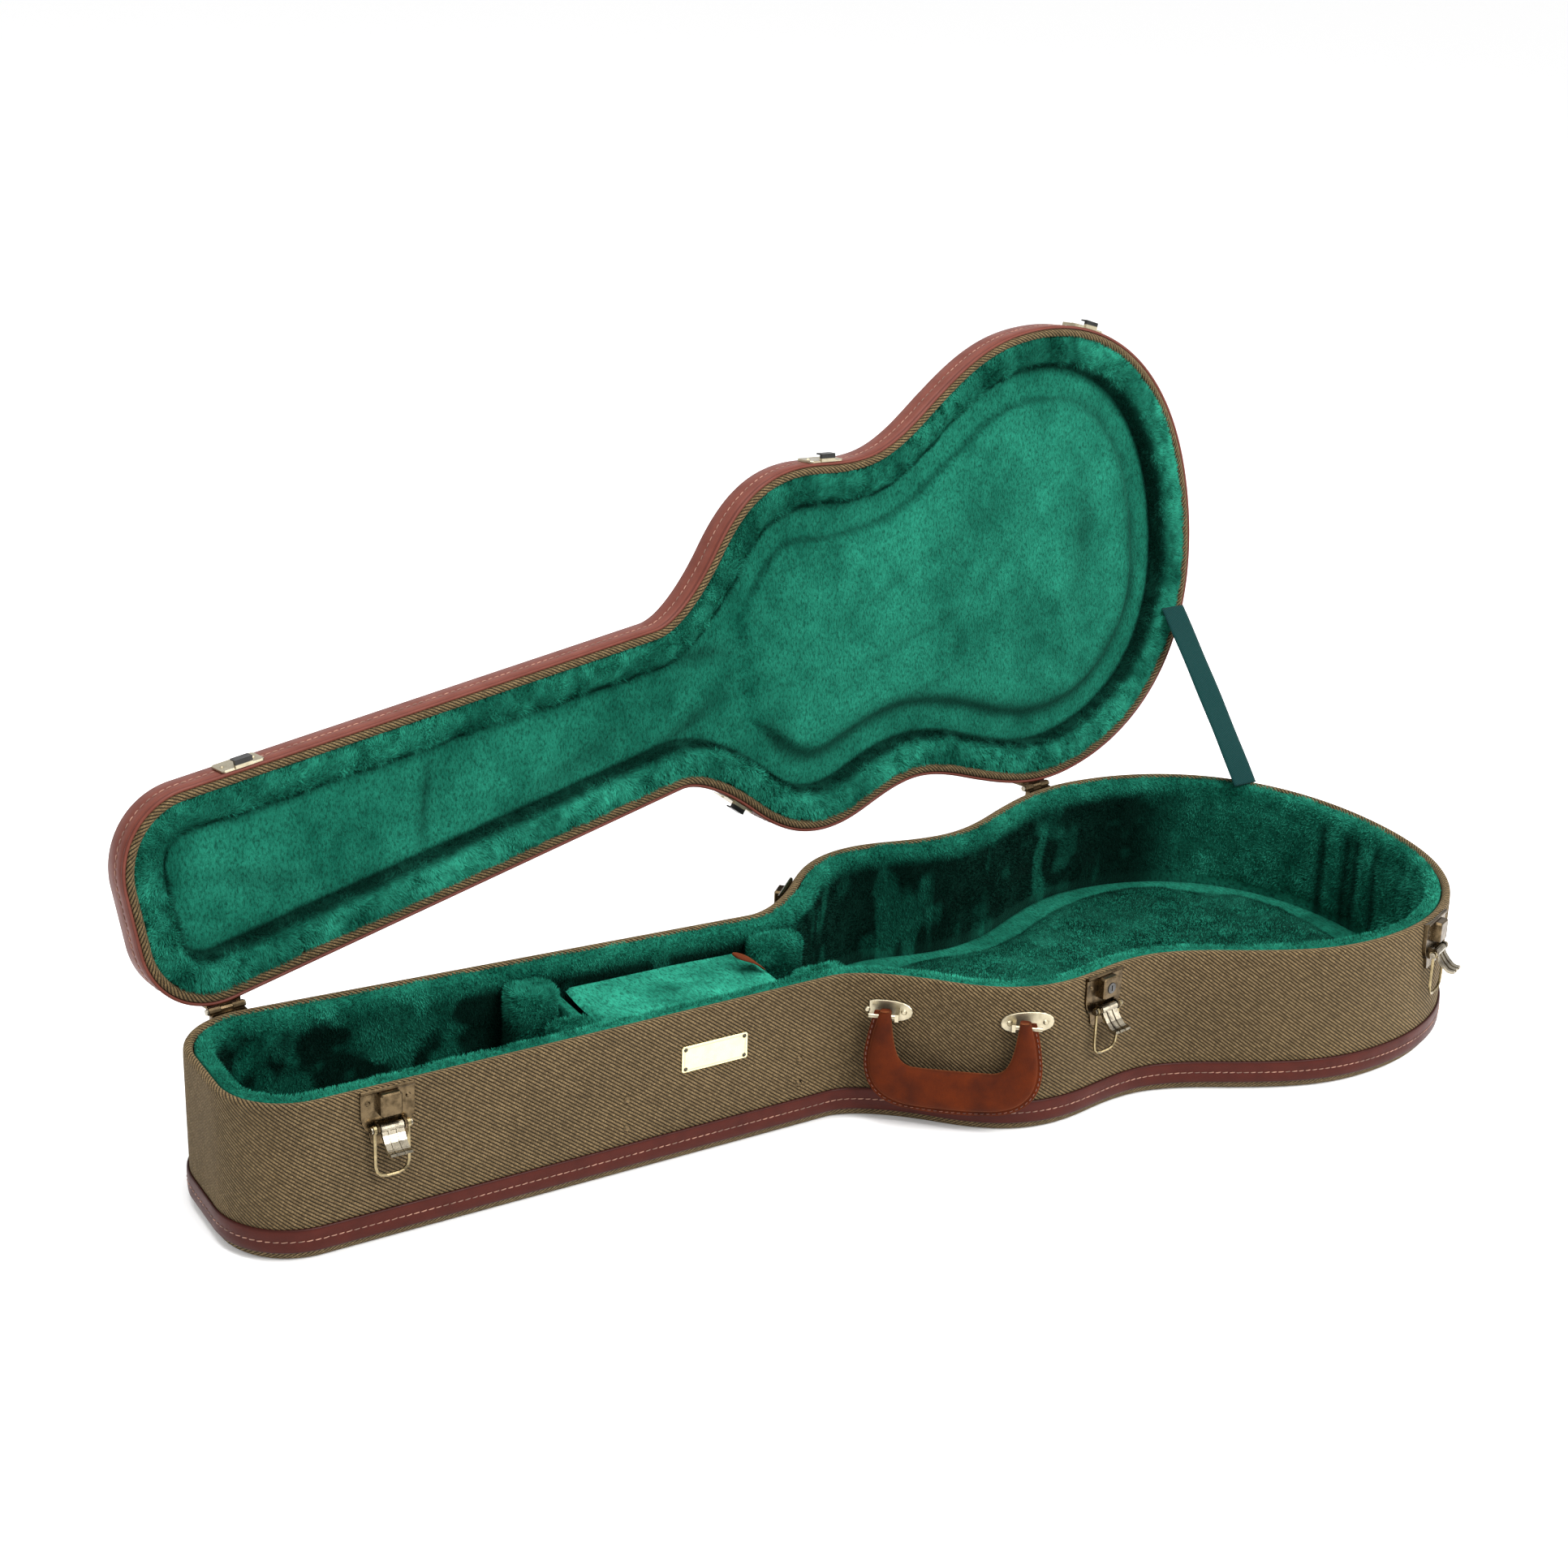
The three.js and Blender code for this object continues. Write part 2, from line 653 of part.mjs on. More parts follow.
for (const [name, x, side] of LATCHES) {
  const frame = wallFrame(x, side);
  const plate = latchPlate(name === "waist");
  add(`latch_plate_${name}`, onWall(plate.adds, plate.cuts, frame, BASE_CUTTER), "bronze", frame);
  add(`latch_pin_${name}`, pinSolid(), "nickel", frame);
  add(`latch_lever_${name}`, leverSolid(), "nickel", frame);
  add(`latch_bail_${name}`, bailSolid(), "brass", frame);
  addLid(`lid_catch_${name}`, onWall(catchParts(), [], frame, LID_CUTTER), "gunmetal", frame);
}

const lockFrame = wallFrame(LOCK_LATCH_X, -1);
const cylinder = new THREE.CylinderGeometry(4.2, 4.2, 2.6, 16);
cylinder.rotateX(Math.PI / 2);
cylinder.translate(0, LATCH_BOX_Z, 8.2);
const keySlot = block(-0.6, 0.6, LATCH_BOX_Z - 2.4, LATCH_BOX_Z + 2.4, 8.6, 11);
add("lock_cylinder", joined([cylinder], [keySlot]), "gunmetal", lockFrame);

// ---- handle ----------------------------------------------------------------

const handleLeft = wallAt(HANDLE_LEFT_X, -1).point;
const handleRight = wallAt(HANDLE_RIGHT_X, -1).point;
const handleAlong = handleRight.clone().sub(handleLeft);
const HANDLE_SPAN = handleAlong.length();
handleAlong.normalize();
const handleNormal = new THREE.Vector2(handleAlong.y, -handleAlong.x);
const handleMiddle = handleLeft.clone().lerp(handleRight, 0.5).addScaledVector(handleNormal, HANDLE_OUT);
const HANDLE_FRAME = frameFrom(handleMiddle, handleNormal);

// Full-ended oval: an ellipse whose ends are blunter than its sides.
function fullOval(halfWidth, halfHeight, steps) {
  const fullness = 0.82;
  const points = [];
  for (let s = 0; s < steps; s += 1) {
    const angle = (s / steps) * 2 * Math.PI;
    const [c, h] = [Math.cos(angle), Math.sin(angle)];
    points.push(new THREE.Vector2(
      Math.sign(c) * halfWidth * Math.abs(c) ** fullness,
      Math.sign(h) * halfHeight * Math.abs(h) ** fullness,
    ));
  }
  return new THREE.Shape(points);
}

// Oval plate with two rivets.
function bracketParts() {
  const oval = slab(fullOval(20.6, 8.6, 20), -3, 1.9, 0.4, 1);
  const rivets = [-14, 14].map((x) => rivet(2.6, 1.5, x, 0, 1.7));
  return [oval, ...rivets].map((g) => g.translate(0, HANDLE_Z, 0));
}

// U grip: side profile in the hanging plane, y measured down from the pivot line.
function gripShape() {
  const top = 4.5;
  const half = HANDLE_SPAN / 2;
  const shape = new THREE.Shape();
  shape.moveTo(-half - 8, top);
  shape.quadraticCurveTo(-half - 13, -14, -half - 14, -30);
  shape.quadraticCurveTo(-half - 16, -66, -half + 18, -72);
  shape.quadraticCurveTo(0, -76, half - 18, -72);
  shape.quadraticCurveTo(half + 16, -66, half + 14, -30);
  shape.quadraticCurveTo(half + 13, -14, half + 8, top);
  shape.lineTo(half - 5, top);
  shape.quadraticCurveTo(half - 7, -22, half - 12, -32);
  shape.quadraticCurveTo(half - 16, -39, half - 24, -39);
  shape.lineTo(-half + 24, -39);
  shape.quadraticCurveTo(-half + 16, -39, -half + 12, -32);
  shape.quadraticCurveTo(-half + 7, -22, -half + 5, top);
  shape.closePath();
  return shape;
}

const GRIP_HALF_THICK = 6.5;
const GRIP_TILT = THREE.MathUtils.degToRad(-5);

function placedGrip() {
  const grip = slab(gripShape(), -GRIP_HALF_THICK, GRIP_HALF_THICK, 3, 2);
  grip.rotateX(GRIP_TILT);
  return grip.translate(0, HANDLE_Z, 0);
}

const gripBores = [-HANDLE_SPAN / 2, HANDLE_SPAN / 2].map((x) => rodX(2.4, x - 16, x + 16, HANDLE_Z, 0));
add("handle_grip", joined([placedGrip()], gripBores), "suede", HANDLE_FRAME);

for (const [name, x, side] of [["left", HANDLE_LEFT_X, -1], ["right", HANDLE_RIGHT_X, 1]]) {
  const frame = wallFrame(x, -1);
  const toLocal = frame.clone().invert().multiply(HANDLE_FRAME);
  // The grip pin and its two lugs run along the line through both brackets.
  const centre = (side * HANDLE_SPAN) / 2;
  const lugMiddle = centre - side * 9.4;
  const pinEnd = centre + side * 12;
  const pin = rodX(1.8, Math.min(lugMiddle, pinEnd), Math.max(lugMiddle, pinEnd), HANDLE_Z, 0);
  const lug = block(
    lugMiddle - 1.4, lugMiddle + 1.4,
    HANDLE_Z - 3, HANDLE_Z + 3,
    -HANDLE_OUT - 4, 2.4,
  );
  for (const part of [pin, lug]) part.applyMatrix4(toLocal);
  const bracket = onWall([...bracketParts(), pin, lug], [], frame, BASE_CUTTER);
  add(`handle_bracket_${name}`, bracket, "brass", frame);
}

// ---- hinges ----------------------------------------------------------------

for (const [name, x] of [["head", HINGE_HEAD_X], ["tail", HINGE_TAIL_X]]) {
  const touch = wallAt(x, 1).point;
  const along = new THREE.Vector2(HINGE_DIR.x, HINGE_DIR.y);
  const offset = new THREE.Vector2(touch.x - HINGE_POINT.x, touch.y - HINGE_POINT.y).dot(along);
  const middle = new THREE.Vector2(HINGE_POINT.x, HINGE_POINT.y)
    .addScaledVector(along, offset)
    .addScaledVector(HINGE_NORMAL, -HINGE_OUT);
  const frame = frameFrom(middle, HINGE_NORMAL);
  const half = 14;
  const centre = 4.6;
  const knuckle = (x0, x1) => rodX(3, x0, x1, HINGE_Z, HINGE_OUT);
  const relief = (x0, x1) => rodX(3.4, x0, x1, HINGE_Z, HINGE_OUT);
  const bore = rodX(BORE_R, -half - 2, half + 2, HINGE_Z, HINGE_OUT);
  const baseLeaf = slab(roundedRect(2 * half, 24, 1.5, 2), -4, 4.4, 0.3, 1).translate(0, 107.8, 0);
  const lidLeaf = slab(roundedRect(2 * half, 21, 2, 2), -4, 4.6, 0.3, 1).translate(0, 132.6, 0);
  const baseRivets = [-7, 7].map((t) => rivet(2, 1, t, 103, 4.2));
  const lidRivets = [-7, 7].map((t) => rivet(2, 1, t, 136, 4.4));
  const baseHalf = onWall(
    [baseLeaf, ...baseRivets],
    [relief(-centre - GAP, centre + GAP)],
    frame,
    BASE_CUTTER,
  );
  const lidHalf = onWall(
    [lidLeaf, ...lidRivets],
    [relief(-half - 1, -centre), relief(centre, half + 1)],
    frame,
    LID_CUTTER,
  );
  const outerKnuckles = [knuckle(-half, -centre - GAP), knuckle(centre + GAP, half)];
  add(`hinge_base_leaf_${name}`, joined([baseHalf, ...outerKnuckles], [bore]), "bronze", frame);
  addLid(`hinge_lid_leaf_${name}`, joined([lidHalf, knuckle(-centre, centre)], [bore]), "bronze", frame);
  add(`hinge_pin_${name}`, joined([
    rodX(PIN_R, -half - 0.6, half + 0.6, HINGE_Z, HINGE_OUT, 10),
    rodX(2.4, half + 0.4, half + 1.4, HINGE_Z, HINGE_OUT, 10),
    rodX(2.4, -half - 1.4, -half - 0.4, HINGE_Z, HINGE_OUT, 10),
  ]), "nickel", frame);
}

// ---- lid -------------------------------------------------------------------

addLid("lid_side_wall", planSolid([
  [0, LID_PANEL - GAP], [0, 125], [1.6, 121.7], [4, LID_RIM],
  [WALL_THICK, 123.5], [WALL_THICK, LID_PANEL - GAP],
], true), "tweed");

addLid("lid_top_panel", planSolid([
  [0, LID_PANEL], [1.2, 150], [4, 152.2], [PANEL_INSET, LID_TOP],
], false), "tweed");

addLid("lid_binding", planSolid([
  [-GAP, 122.6], [-BAND_OUT, 123.4], [-BAND_OUT, 147.4], [-GAP - 0.2, 148.4],
], true), "band");

addLid("lid_wall_padding", planSolid([
  [WALL_THICK + GAP, 138.7], [WALL_THICK + GAP, 125], [12, 121.6],
  [24, 122], [30.5, 127], [LID_PAD_INNER, 138.7],
], true), "plush");

addLid("lid_top_padding", planSolid([
  [WALL_THICK + GAP, LID_PANEL - GAP], [WALL_THICK + GAP, 139], [LID_PAD_INNER + 4, 139],
], false), "plush");

addLid("lid_body_pad", ringSolid(bodyPadRings([
  [0, 138.7], [0, 136], [3, 133.6], [8, 133],
]), false), "plush");

// ---- stay strap ------------------------------------------------------------

const STRAP_WIDTH = 25;
const STRAP_THICK = 1.4;
const strapBase = new THREE.Vector3(1020 - MID_X, 118, 122.5);
const strapLid = new THREE.Vector3(1038 - MID_X, 92, 120).applyMatrix4(LID_OPEN);
const strapRun = strapLid.clone().sub(strapBase);
const strapSolid = block(
  -STRAP_WIDTH / 2, STRAP_WIDTH / 2,
  0, strapRun.length(),
  -STRAP_THICK / 2, STRAP_THICK / 2,
);
const strapUp = strapRun.clone().normalize();
const strapSide = new THREE.Vector3(1, 0, 0).addScaledVector(strapUp, -strapUp.x).normalize();
const strapFace = strapSide.clone().cross(strapUp);
const strapFrame = new THREE.Matrix4().makeBasis(strapSide, strapUp, strapFace).setPosition(strapBase);
add("stay_strap", strapSolid, "webbing", strapFrame);

export default group;
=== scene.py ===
import bpy
import math
import numpy as np
from mathutils import Matrix, Vector


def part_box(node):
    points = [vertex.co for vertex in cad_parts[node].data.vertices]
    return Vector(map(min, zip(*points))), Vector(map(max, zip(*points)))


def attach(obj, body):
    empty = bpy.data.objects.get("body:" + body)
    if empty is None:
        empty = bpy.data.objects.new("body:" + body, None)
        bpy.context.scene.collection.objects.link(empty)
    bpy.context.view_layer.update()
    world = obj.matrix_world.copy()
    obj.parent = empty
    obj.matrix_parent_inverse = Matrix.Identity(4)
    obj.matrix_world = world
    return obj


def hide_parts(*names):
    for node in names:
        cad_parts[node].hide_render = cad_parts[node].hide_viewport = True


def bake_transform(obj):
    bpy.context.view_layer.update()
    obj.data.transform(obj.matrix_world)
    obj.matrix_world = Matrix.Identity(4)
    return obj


# Looks of a hard-shell guitar case.  Lengths named here are in millimetres, in the CAD frame
# (+X to the tail, +Y to the hinges, +Z up); meshes are made in metres.
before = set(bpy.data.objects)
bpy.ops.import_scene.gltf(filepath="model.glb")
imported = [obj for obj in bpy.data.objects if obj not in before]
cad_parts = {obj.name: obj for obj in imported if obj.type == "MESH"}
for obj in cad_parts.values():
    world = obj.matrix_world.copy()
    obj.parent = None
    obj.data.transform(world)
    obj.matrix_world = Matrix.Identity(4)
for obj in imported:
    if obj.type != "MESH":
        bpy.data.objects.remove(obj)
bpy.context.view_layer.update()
MM = 0.001

# ---- dimensions shared with the CAD source
CASE_LENGTH = 1070.0
MID_X = CASE_LENGTH / 2
HEAD_HALF = 81.0
HEAD_CORNER = 58.0
NECK_END = (469.0, 67.0)
FLANK = (537.0, 111.0)
FLANK_ANGLE = math.radians(48)
UPPER = (622.0, 155.0)
WAIST = (702.0, 144.0)
HIP = (784.0, 173.0)
HIP_ANGLE = math.radians(26)
LOWER = (884.0, 202.0)
WALL_THICK = 7.0
BAND_OUT = 2.4
BAND_LOW = 8.0
BAND_HIGH = 26.0
PAD_INNER = 19.5
FLOOR_TOP = 21.0
LID_PAD_INNER = 32.0
OPEN_ANGLE = math.radians(94)
HINGE_SLOPE = math.atan(0.1476)
HINGE_POINT = Vector((312.12, 203.55, 120.5))
HANDLE_MIDDLE = (6.59, -125.93)
HANDLE_NORMAL = (-0.6178, -0.7864)
HANDLE_SPAN = 106.82
HANDLE_Z = 92.5
HANDLE_TILT = math.radians(-5)
BOX_LID = (-238.0, -82.0, 46.0, 95.0, 101.0)
CATCH_X = {"head": (106, -1), "waist": (660, -1), "tail": (966, -1), "back": (527, 1)}
STRAP_BASE = Vector((485.0, 118.0, 122.5))
STRAP_CLOSED = Vector((503.0, 92.0, 120.0))
STRAP_WIDTH = 25.0

HINGE_DIR = Vector((math.cos(HINGE_SLOPE), math.sin(HINGE_SLOPE), 0))
LID_OPEN = (
    Matrix.Translation(HINGE_POINT)
    @ Matrix.Rotation(-OPEN_ANGLE, 4, HINGE_DIR)
    @ Matrix.Translation(-HINGE_POINT)
)
FLAT = Matrix.Identity(4)

# ---- colours, linear
TWEED_LIGHT = (0.200, 0.138, 0.067, 1)
TWEED_MID = (0.062, 0.040, 0.017, 1)
TWEED_DARK = (0.004, 0.0028, 0.0014, 1)
LEATHER = (0.050, 0.0080, 0.0044, 1)
LEATHER_LIT = (0.120, 0.034, 0.023, 1)
LEATHER_DARK = (0.016, 0.0030, 0.0018, 1)
PLUSH_TIP = (0.030, 0.330, 0.215, 1)
PLUSH_LIGHT = (0.0150, 0.195, 0.125, 1)
PLUSH_MID = (0.0030, 0.074, 0.046, 1)
# PLUSH_DARK: the colour that painted shade on the plush goes to; also the dark of its strokes and
# tufts.
PLUSH_DARK = (0.0002, 0.006, 0.0038, 1)
THREAD = (0.34, 0.165, 0.105, 1)
SUEDE = (0.080, 0.0128, 0.0018, 1)
SUEDE_DARK = (0.024, 0.0036, 0.0007, 1)
RUST = (0.17, 0.040, 0.014, 1)
WEB_DARK = (0.0008, 0.012, 0.0115, 1)
WEB_LIGHT = (0.003, 0.042, 0.040, 1)
WEB_FRAY = (0.0018, 0.026, 0.025, 1)
CHAMPAGNE = (0.42, 0.37, 0.26, 1)
CHAMPAGNE_DARK = (0.19, 0.16, 0.10, 1)


# ---- camera, before the shapes; its place is in metres

CAMERA_LENS = 59.53
CAMERA_PLACE = (-1.01018, -1.56888, 0.93883)
CAMERA_AIM = Vector((0.47978, 0.80416, -0.35091))
CAMERA_RIGHT = Vector((0.86386, -0.50291, 0.02861))


def add_object(name, data):
    obj = bpy.data.objects.new(name, data)
    bpy.context.scene.collection.objects.link(obj)
    return obj


def add_camera():
    data = bpy.data.cameras.new("camera")
    data.lens = CAMERA_LENS
    data.sensor_width = 36
    data.clip_end = 100
    camera = add_object("camera", data)
    aim = CAMERA_AIM.normalized()
    right = CAMERA_RIGHT.normalized()
    up = right.cross(aim)
    camera.matrix_world = Matrix.Translation(CAMERA_PLACE) @ Matrix(
        (right, up, -aim)
    ).transposed().to_4x4()
    bpy.context.scene.camera = camera


add_camera()


# ---- plan outline

def bezier(a, a_angle, a_reach, b, b_angle, b_reach, steps=160):
    t = np.linspace(0, 1, steps, endpoint=False)[:, None]
    a = np.array(a, float)
    b = np.array(b, float)
    c = a + a_reach * np.array([math.cos(a_angle), math.sin(a_angle)])
    d = b - b_reach * np.array([math.cos(b_angle), math.sin(b_angle)])
    return (1 - t) ** 3 * a + 3 * t * (1 - t) ** 2 * c + 3 * t * t * (1 - t) * d + t ** 3 * b


def straight(a, b, steps=160):
    t = np.linspace(0, 1, steps, endpoint=False)[:, None]
    return np.array(a, float) * (1 - t) + np.array(b, float) * t


def closed(points):
    return np.concatenate([points, points[:1]])


def run_length(line):
    """Length along a line of points, at each of them."""
    return np.concatenate([[0], np.cumsum(np.linalg.norm(np.diff(line, axis=0), axis=1))])


def at_lengths(at, length, values):
    return np.stack([np.interp(at, length, values[:, k]) for k in (0, 1)], 1)


def even_points(curve, count):
    length = run_length(curve)
    return at_lengths(np.linspace(0, length[-1], count), length, curve)


def unit(vectors, tiny=0):
    return vectors / (np.linalg.norm(vectors, axis=1)[:, None] + tiny)


def half_outline(step):
    """Front half of the plan, head middle to tail middle, evenly spaced: (x, half width)."""
    up = math.pi / 2
    neck = math.atan2(NECK_END[1] - HEAD_HALF, NECK_END[0] - HEAD_CORNER)
    corner = (HEAD_CORNER, HEAD_HALF)
    tail = (CASE_LENGTH, 0)
    dense = np.concatenate([
        straight((0, 0), (0, HEAD_HALF - HEAD_CORNER)),
        bezier((0, HEAD_HALF - HEAD_CORNER), up, 33, corner, neck, 33),
        straight(corner, NECK_END),
        bezier(NECK_END, neck, 22, FLANK, FLANK_ANGLE, 24),
        bezier(FLANK, FLANK_ANGLE, 36, UPPER, 0, 36),
        bezier(UPPER, 0, 28, WAIST, 0, 32),
        bezier(WAIST, 0, 32, HIP, HIP_ANGLE, 22),
        bezier(HIP, HIP_ANGLE, 30, LOWER, 0, 42),
        bezier(LOWER, 0, 98, tail, -up, 138),
        np.array([tail], float),
    ])
    return even_points(dense, int(run_length(dense)[-1] / step) + 1)


HALF = half_outline(2.4) - (MID_X, 0)
PLAN = np.concatenate([HALF * (1, -1), HALF[-2:0:-1]])
COUNT = len(PLAN)


def plan_normals():
    along = unit(np.roll(PLAN, -1, 0) - np.roll(PLAN, 1, 0))
    return np.stack([along[:, 1], -along[:, 0]], 1)


NORMAL = plan_normals()
ARC = run_length(closed(PLAN))


def half_width(inset, x):
    """Half width of the plan moved inward by inset, at stations x."""
    ring = (PLAN - NORMAL * inset)[: len(HALF)]
    order = np.argsort(ring[:, 0])
    return np.interp(x, ring[order, 0], -ring[order, 1], left=0, right=0)


def inset_ends(inset):
    ring = (PLAN - NORMAL * inset)[: len(HALF)]
    return ring[:, 0].min(), ring[:, 0].max()


def wall_distance(points):
    """Distance of plan points from the outline."""
    out = np.empty(len(points))
    for k in range(0, len(points), 4000):
        part = points[k:k + 4000, None, :] - PLAN[None, ::2]
        out[k:k + 4000] = np.sqrt((part ** 2).sum(2).min(1))
    return out


# ---- noise

def noise3(points, size, seed=0):
    """Smooth value noise from -1 to 1 at (n, 3) points."""
    q = np.asarray(points, float) / size + seed * 13.7
    cell = np.floor(q).astype(np.int64)
    f = q - cell
    f = f * f * (3 - 2 * f)
    total = np.zeros(len(q))
    for corner in np.ndindex(2, 2, 2):
        c = cell + corner
        h = (c[:, 0] * 73856093) ^ (c[:, 1] * 19349663) ^ (c[:, 2] * 83492791)
        h = ((h ^ (h >> 13)) * 1274126177) & 0x7FFFFFFF
        weight = np.prod(np.where(corner, f, 1 - f), axis=1)
        total += weight * h / 0x7FFFFFFF
    return total * 2 - 1


def smooth(t):
    t = np.clip(t, 0, 1)
    return t * t * (3 - 2 * t)


# ---- meshes

def moved(points, matrix):
    m = np.array(matrix)
    return points @ m[:3, :3].T + m[:3, 3]


def level(plan):
    """Plan points or directions with z = 0."""
    return np.column_stack([plan, np.zeros(len(plan))])


def box_of(node):
    """Low and high corner of a CAD node, in millimetres."""
    return (np.array(corner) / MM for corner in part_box(node))


def unit_grid(columns, rows, low=0):
    """Grid stations, flattened: u from low to 1 along the columns, v from -1 to 1 across."""
    u, v = np.meshgrid(np.linspace(low, 1, columns), np.linspace(-1, 1, rows), indexing="ij")
    return u.ravel(), v.ravel()


def new_object(name, points, faces, material, uvs=None, soft=True, shade=None):
    """points in mm; faces a list of (n, 3) or (n, 4) arrays; uvs one (u, v) per corner;
    shade, one number per point, darkens the plush from 0 (as it is) to 1."""
    mesh = bpy.data.meshes.new(name)
    corners = np.concatenate([np.asarray(f).ravel() for f in faces]).astype(np.int32)
    sizes = np.concatenate([np.full(len(f), np.asarray(f).shape[1]) for f in faces])
    starts = np.concatenate([[0], np.cumsum(sizes)[:-1]]).astype(np.int32)
    mesh.vertices.add(len(points))
    mesh.vertices.foreach_set("co", (np.asarray(points) * MM).astype(np.float32).ravel())
    mesh.loops.add(len(corners))
    mesh.loops.foreach_set("vertex_index", corners)
    mesh.polygons.add(len(sizes))
    mesh.polygons.foreach_set("loop_start", starts)
    mesh.polygons.foreach_set("use_smooth", np.full(len(sizes), soft))
    if uvs is not None:
        layer = mesh.uv_layers.new(name="UVMap")
        layer.data.foreach_set("uv", np.asarray(uvs, np.float32).ravel())
    if shade is not None:
        layer = mesh.attributes.new("shade", "FLOAT", "POINT")
        layer.data.foreach_set("value", np.asarray(shade, np.float32))
    mesh.update(calc_edges=True)
    mesh.validate()
    obj = add_object(name, mesh)
    mesh.materials.append(material)
    return obj


def finish_piece(obj, body, nodes=()):
    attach(obj, body)
    if nodes:
        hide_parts(*nodes)
    return obj


def rounded(section, times):
    """Corner-cut a closed section so that its corners turn smoothly."""
    points = np.array(section, float)
    for _ in range(times):
        after = np.roll(points, -1, 0)
        points = np.stack([points * 0.75 + after * 0.25, points * 0.25 + after * 0.75], 1)
        points = points.reshape(-1, 2)
    return points


def section_normals(section):
    along = unit(np.roll(section, -1, 0) - np.roll(section, 1, 0), 1e-9)
    out = np.stack([along[:, 1], -along[:, 0]], 1)
    x, y = section[:, 0], section[:, 1]
    area = (x * np.roll(y, -1) - np.roll(x, -1) * y).sum()
    return out if area > 0 else -out


def sweep_grid(section, place=FLAT, push=None):
    """Positions of a closed (inward, z) section carried round the plan."""
    normal = section_normals(section)
    rows = len(section)
    out = np.repeat(NORMAL, rows, 0)
    inward, z = (np.tile(section[:, k], COUNT) for k in (0, 1))
    points = np.column_stack([np.repeat(PLAN, rows, 0) - out * inward[:, None], z])
    if push is not None:
        ni, nz = (np.tile(normal[:, k], COUNT) for k in (0, 1))
        shift = push(points, inward, z)[:, None]
        points = points + np.column_stack([-out * ni[:, None], nz]) * shift
    return moved(points, place)


def loop_faces(columns, rows):
    """Quads of a grid that closes both ways, with the column and row of each corner."""
    i, j = np.meshgrid(np.arange(columns), np.arange(rows), indexing="ij")
    i, j = i.ravel(), j.ravel()
    column = np.stack([i, i + 1, i + 1, i], 1)
    row = np.stack([j, j, j + 1, j + 1], 1)
    return (column % columns) * rows + row % rows, column, row


def inside_out(points, faces):
    a, b, c, d = (points[faces[:, k]] for k in (0, 1, 2, -1))
    return (a * np.cross(b, c)).sum() + (a * np.cross(c, d)).sum() < 0


def outward(points, faces):
    return faces[:, ::-1] if inside_out(points, faces) else faces


def sweep(name, section, material, place=FLAT, push=None, tone=None):
    """Closed band round the plan; tone gives the shade of each point of the closed case."""
    section = np.array(section, float)
    points = sweep_grid(section, place, push)
    shade = None
    if tone is not None:
        shade = tone(moved(points, place.inverted()), np.tile(section[:, 0], COUNT))
    faces, column, row = loop_faces(COUNT, len(section))
    height = run_length(closed(section))
    uv = np.stack([ARC[column], height[row]], 2) * MM
    if inside_out(points, faces):
        faces, uv = faces[:, ::-1], uv[:, ::-1]
    return new_object(name, points, [faces], material, uv.reshape(-1, 2), shade=shade), points


def across_grid(inset, columns, rows):
    """Grid of plan points that fills the outline moved inward by inset."""
    low, high = inset_ends(inset)
    turn = np.linspace(0, math.pi, columns)
    blend = 0.35 * (1 - np.cos(turn)) / 2 + 0.65 * turn / math.pi
    x = low + (high - low) * blend
    width = half_width(inset, np.clip(x, low + 0.4, high - 0.4))
    v = np.linspace(-1, 1, rows)
    return np.stack([np.repeat(x, rows), (width[:, None] * v).ravel()], 1)


def sheet_faces(columns, rows):
    i, j = np.meshgrid(np.arange(columns - 1), np.arange(rows - 1), indexing="ij")
    a = (i * rows + j).ravel()
    return np.stack([a, a + rows, a + rows + 1, a + 1], 1)


def end_caps(columns, rows, first):
    """Quads across the two end loops of a grid, each between a point and its facing one."""
    r = np.arange(first, rows // 2 - 1)
    facing = rows - 1 + first - r
    quad = np.stack([r, r + 1, facing - 1, facing], 1)
    return np.concatenate([quad, quad[:, ::-1] + (columns - 1) * rows])


def two_sided_faces(columns, rows):
    """Quads of two facing grids with their rims joined."""
    upper = sheet_faces(columns, rows)
    count = columns * rows
    grid = np.arange(count).reshape(columns, rows)
    rim = np.concatenate([grid[:, 0], grid[-1, 1:], grid[-2::-1, -1], grid[0, -2:0:-1]])
    after = np.roll(rim, -1)
    side = np.stack([rim, rim + count, after + count, after], 1)
    return np.concatenate([upper, upper[:, ::-1] + count, side])


def closed_slab(name, plan, columns, rows, top, bottom, material, place=FLAT, shade=None):
    """Body between two height fields over one grid, with its rim joined."""
    points = np.concatenate([np.column_stack([plan, top]), np.column_stack([plan, bottom])])
    points = moved(points, place)
    faces = outward(points, two_sided_faces(columns, rows))
    flat = np.concatenate([plan, plan]) * MM
    both = None if shade is None else np.concatenate([shade, shade])
    return new_object(name, points, [faces], material, flat[faces.ravel()], shade=both)


# ---- pile of the plush, as small bent blades

def sample_faces(points, faces, amount, seed):
    """Random points over quads, evenly by area, with face normals."""
    chance = np.random.default_rng(seed)
    tri = np.concatenate([faces[:, [0, 1, 2]], faces[:, [0, 2, 3]]])
    a, b, c = points[tri[:, 0]], points[tri[:, 1]], points[tri[:, 2]]
    cross = np.cross(b - a, c - a)
    area = np.linalg.norm(cross, axis=1)
    pick = chance.choice(len(tri), amount, p=area / area.sum())
    r = np.sqrt(chance.random((amount, 1)))
    s = chance.random((amount, 1))
    spot = (1 - r) * a[pick] + r * (1 - s) * b[pick] + r * s * c[pick]
    return spot, cross[pick] / (area[pick, None] + 1e-12)


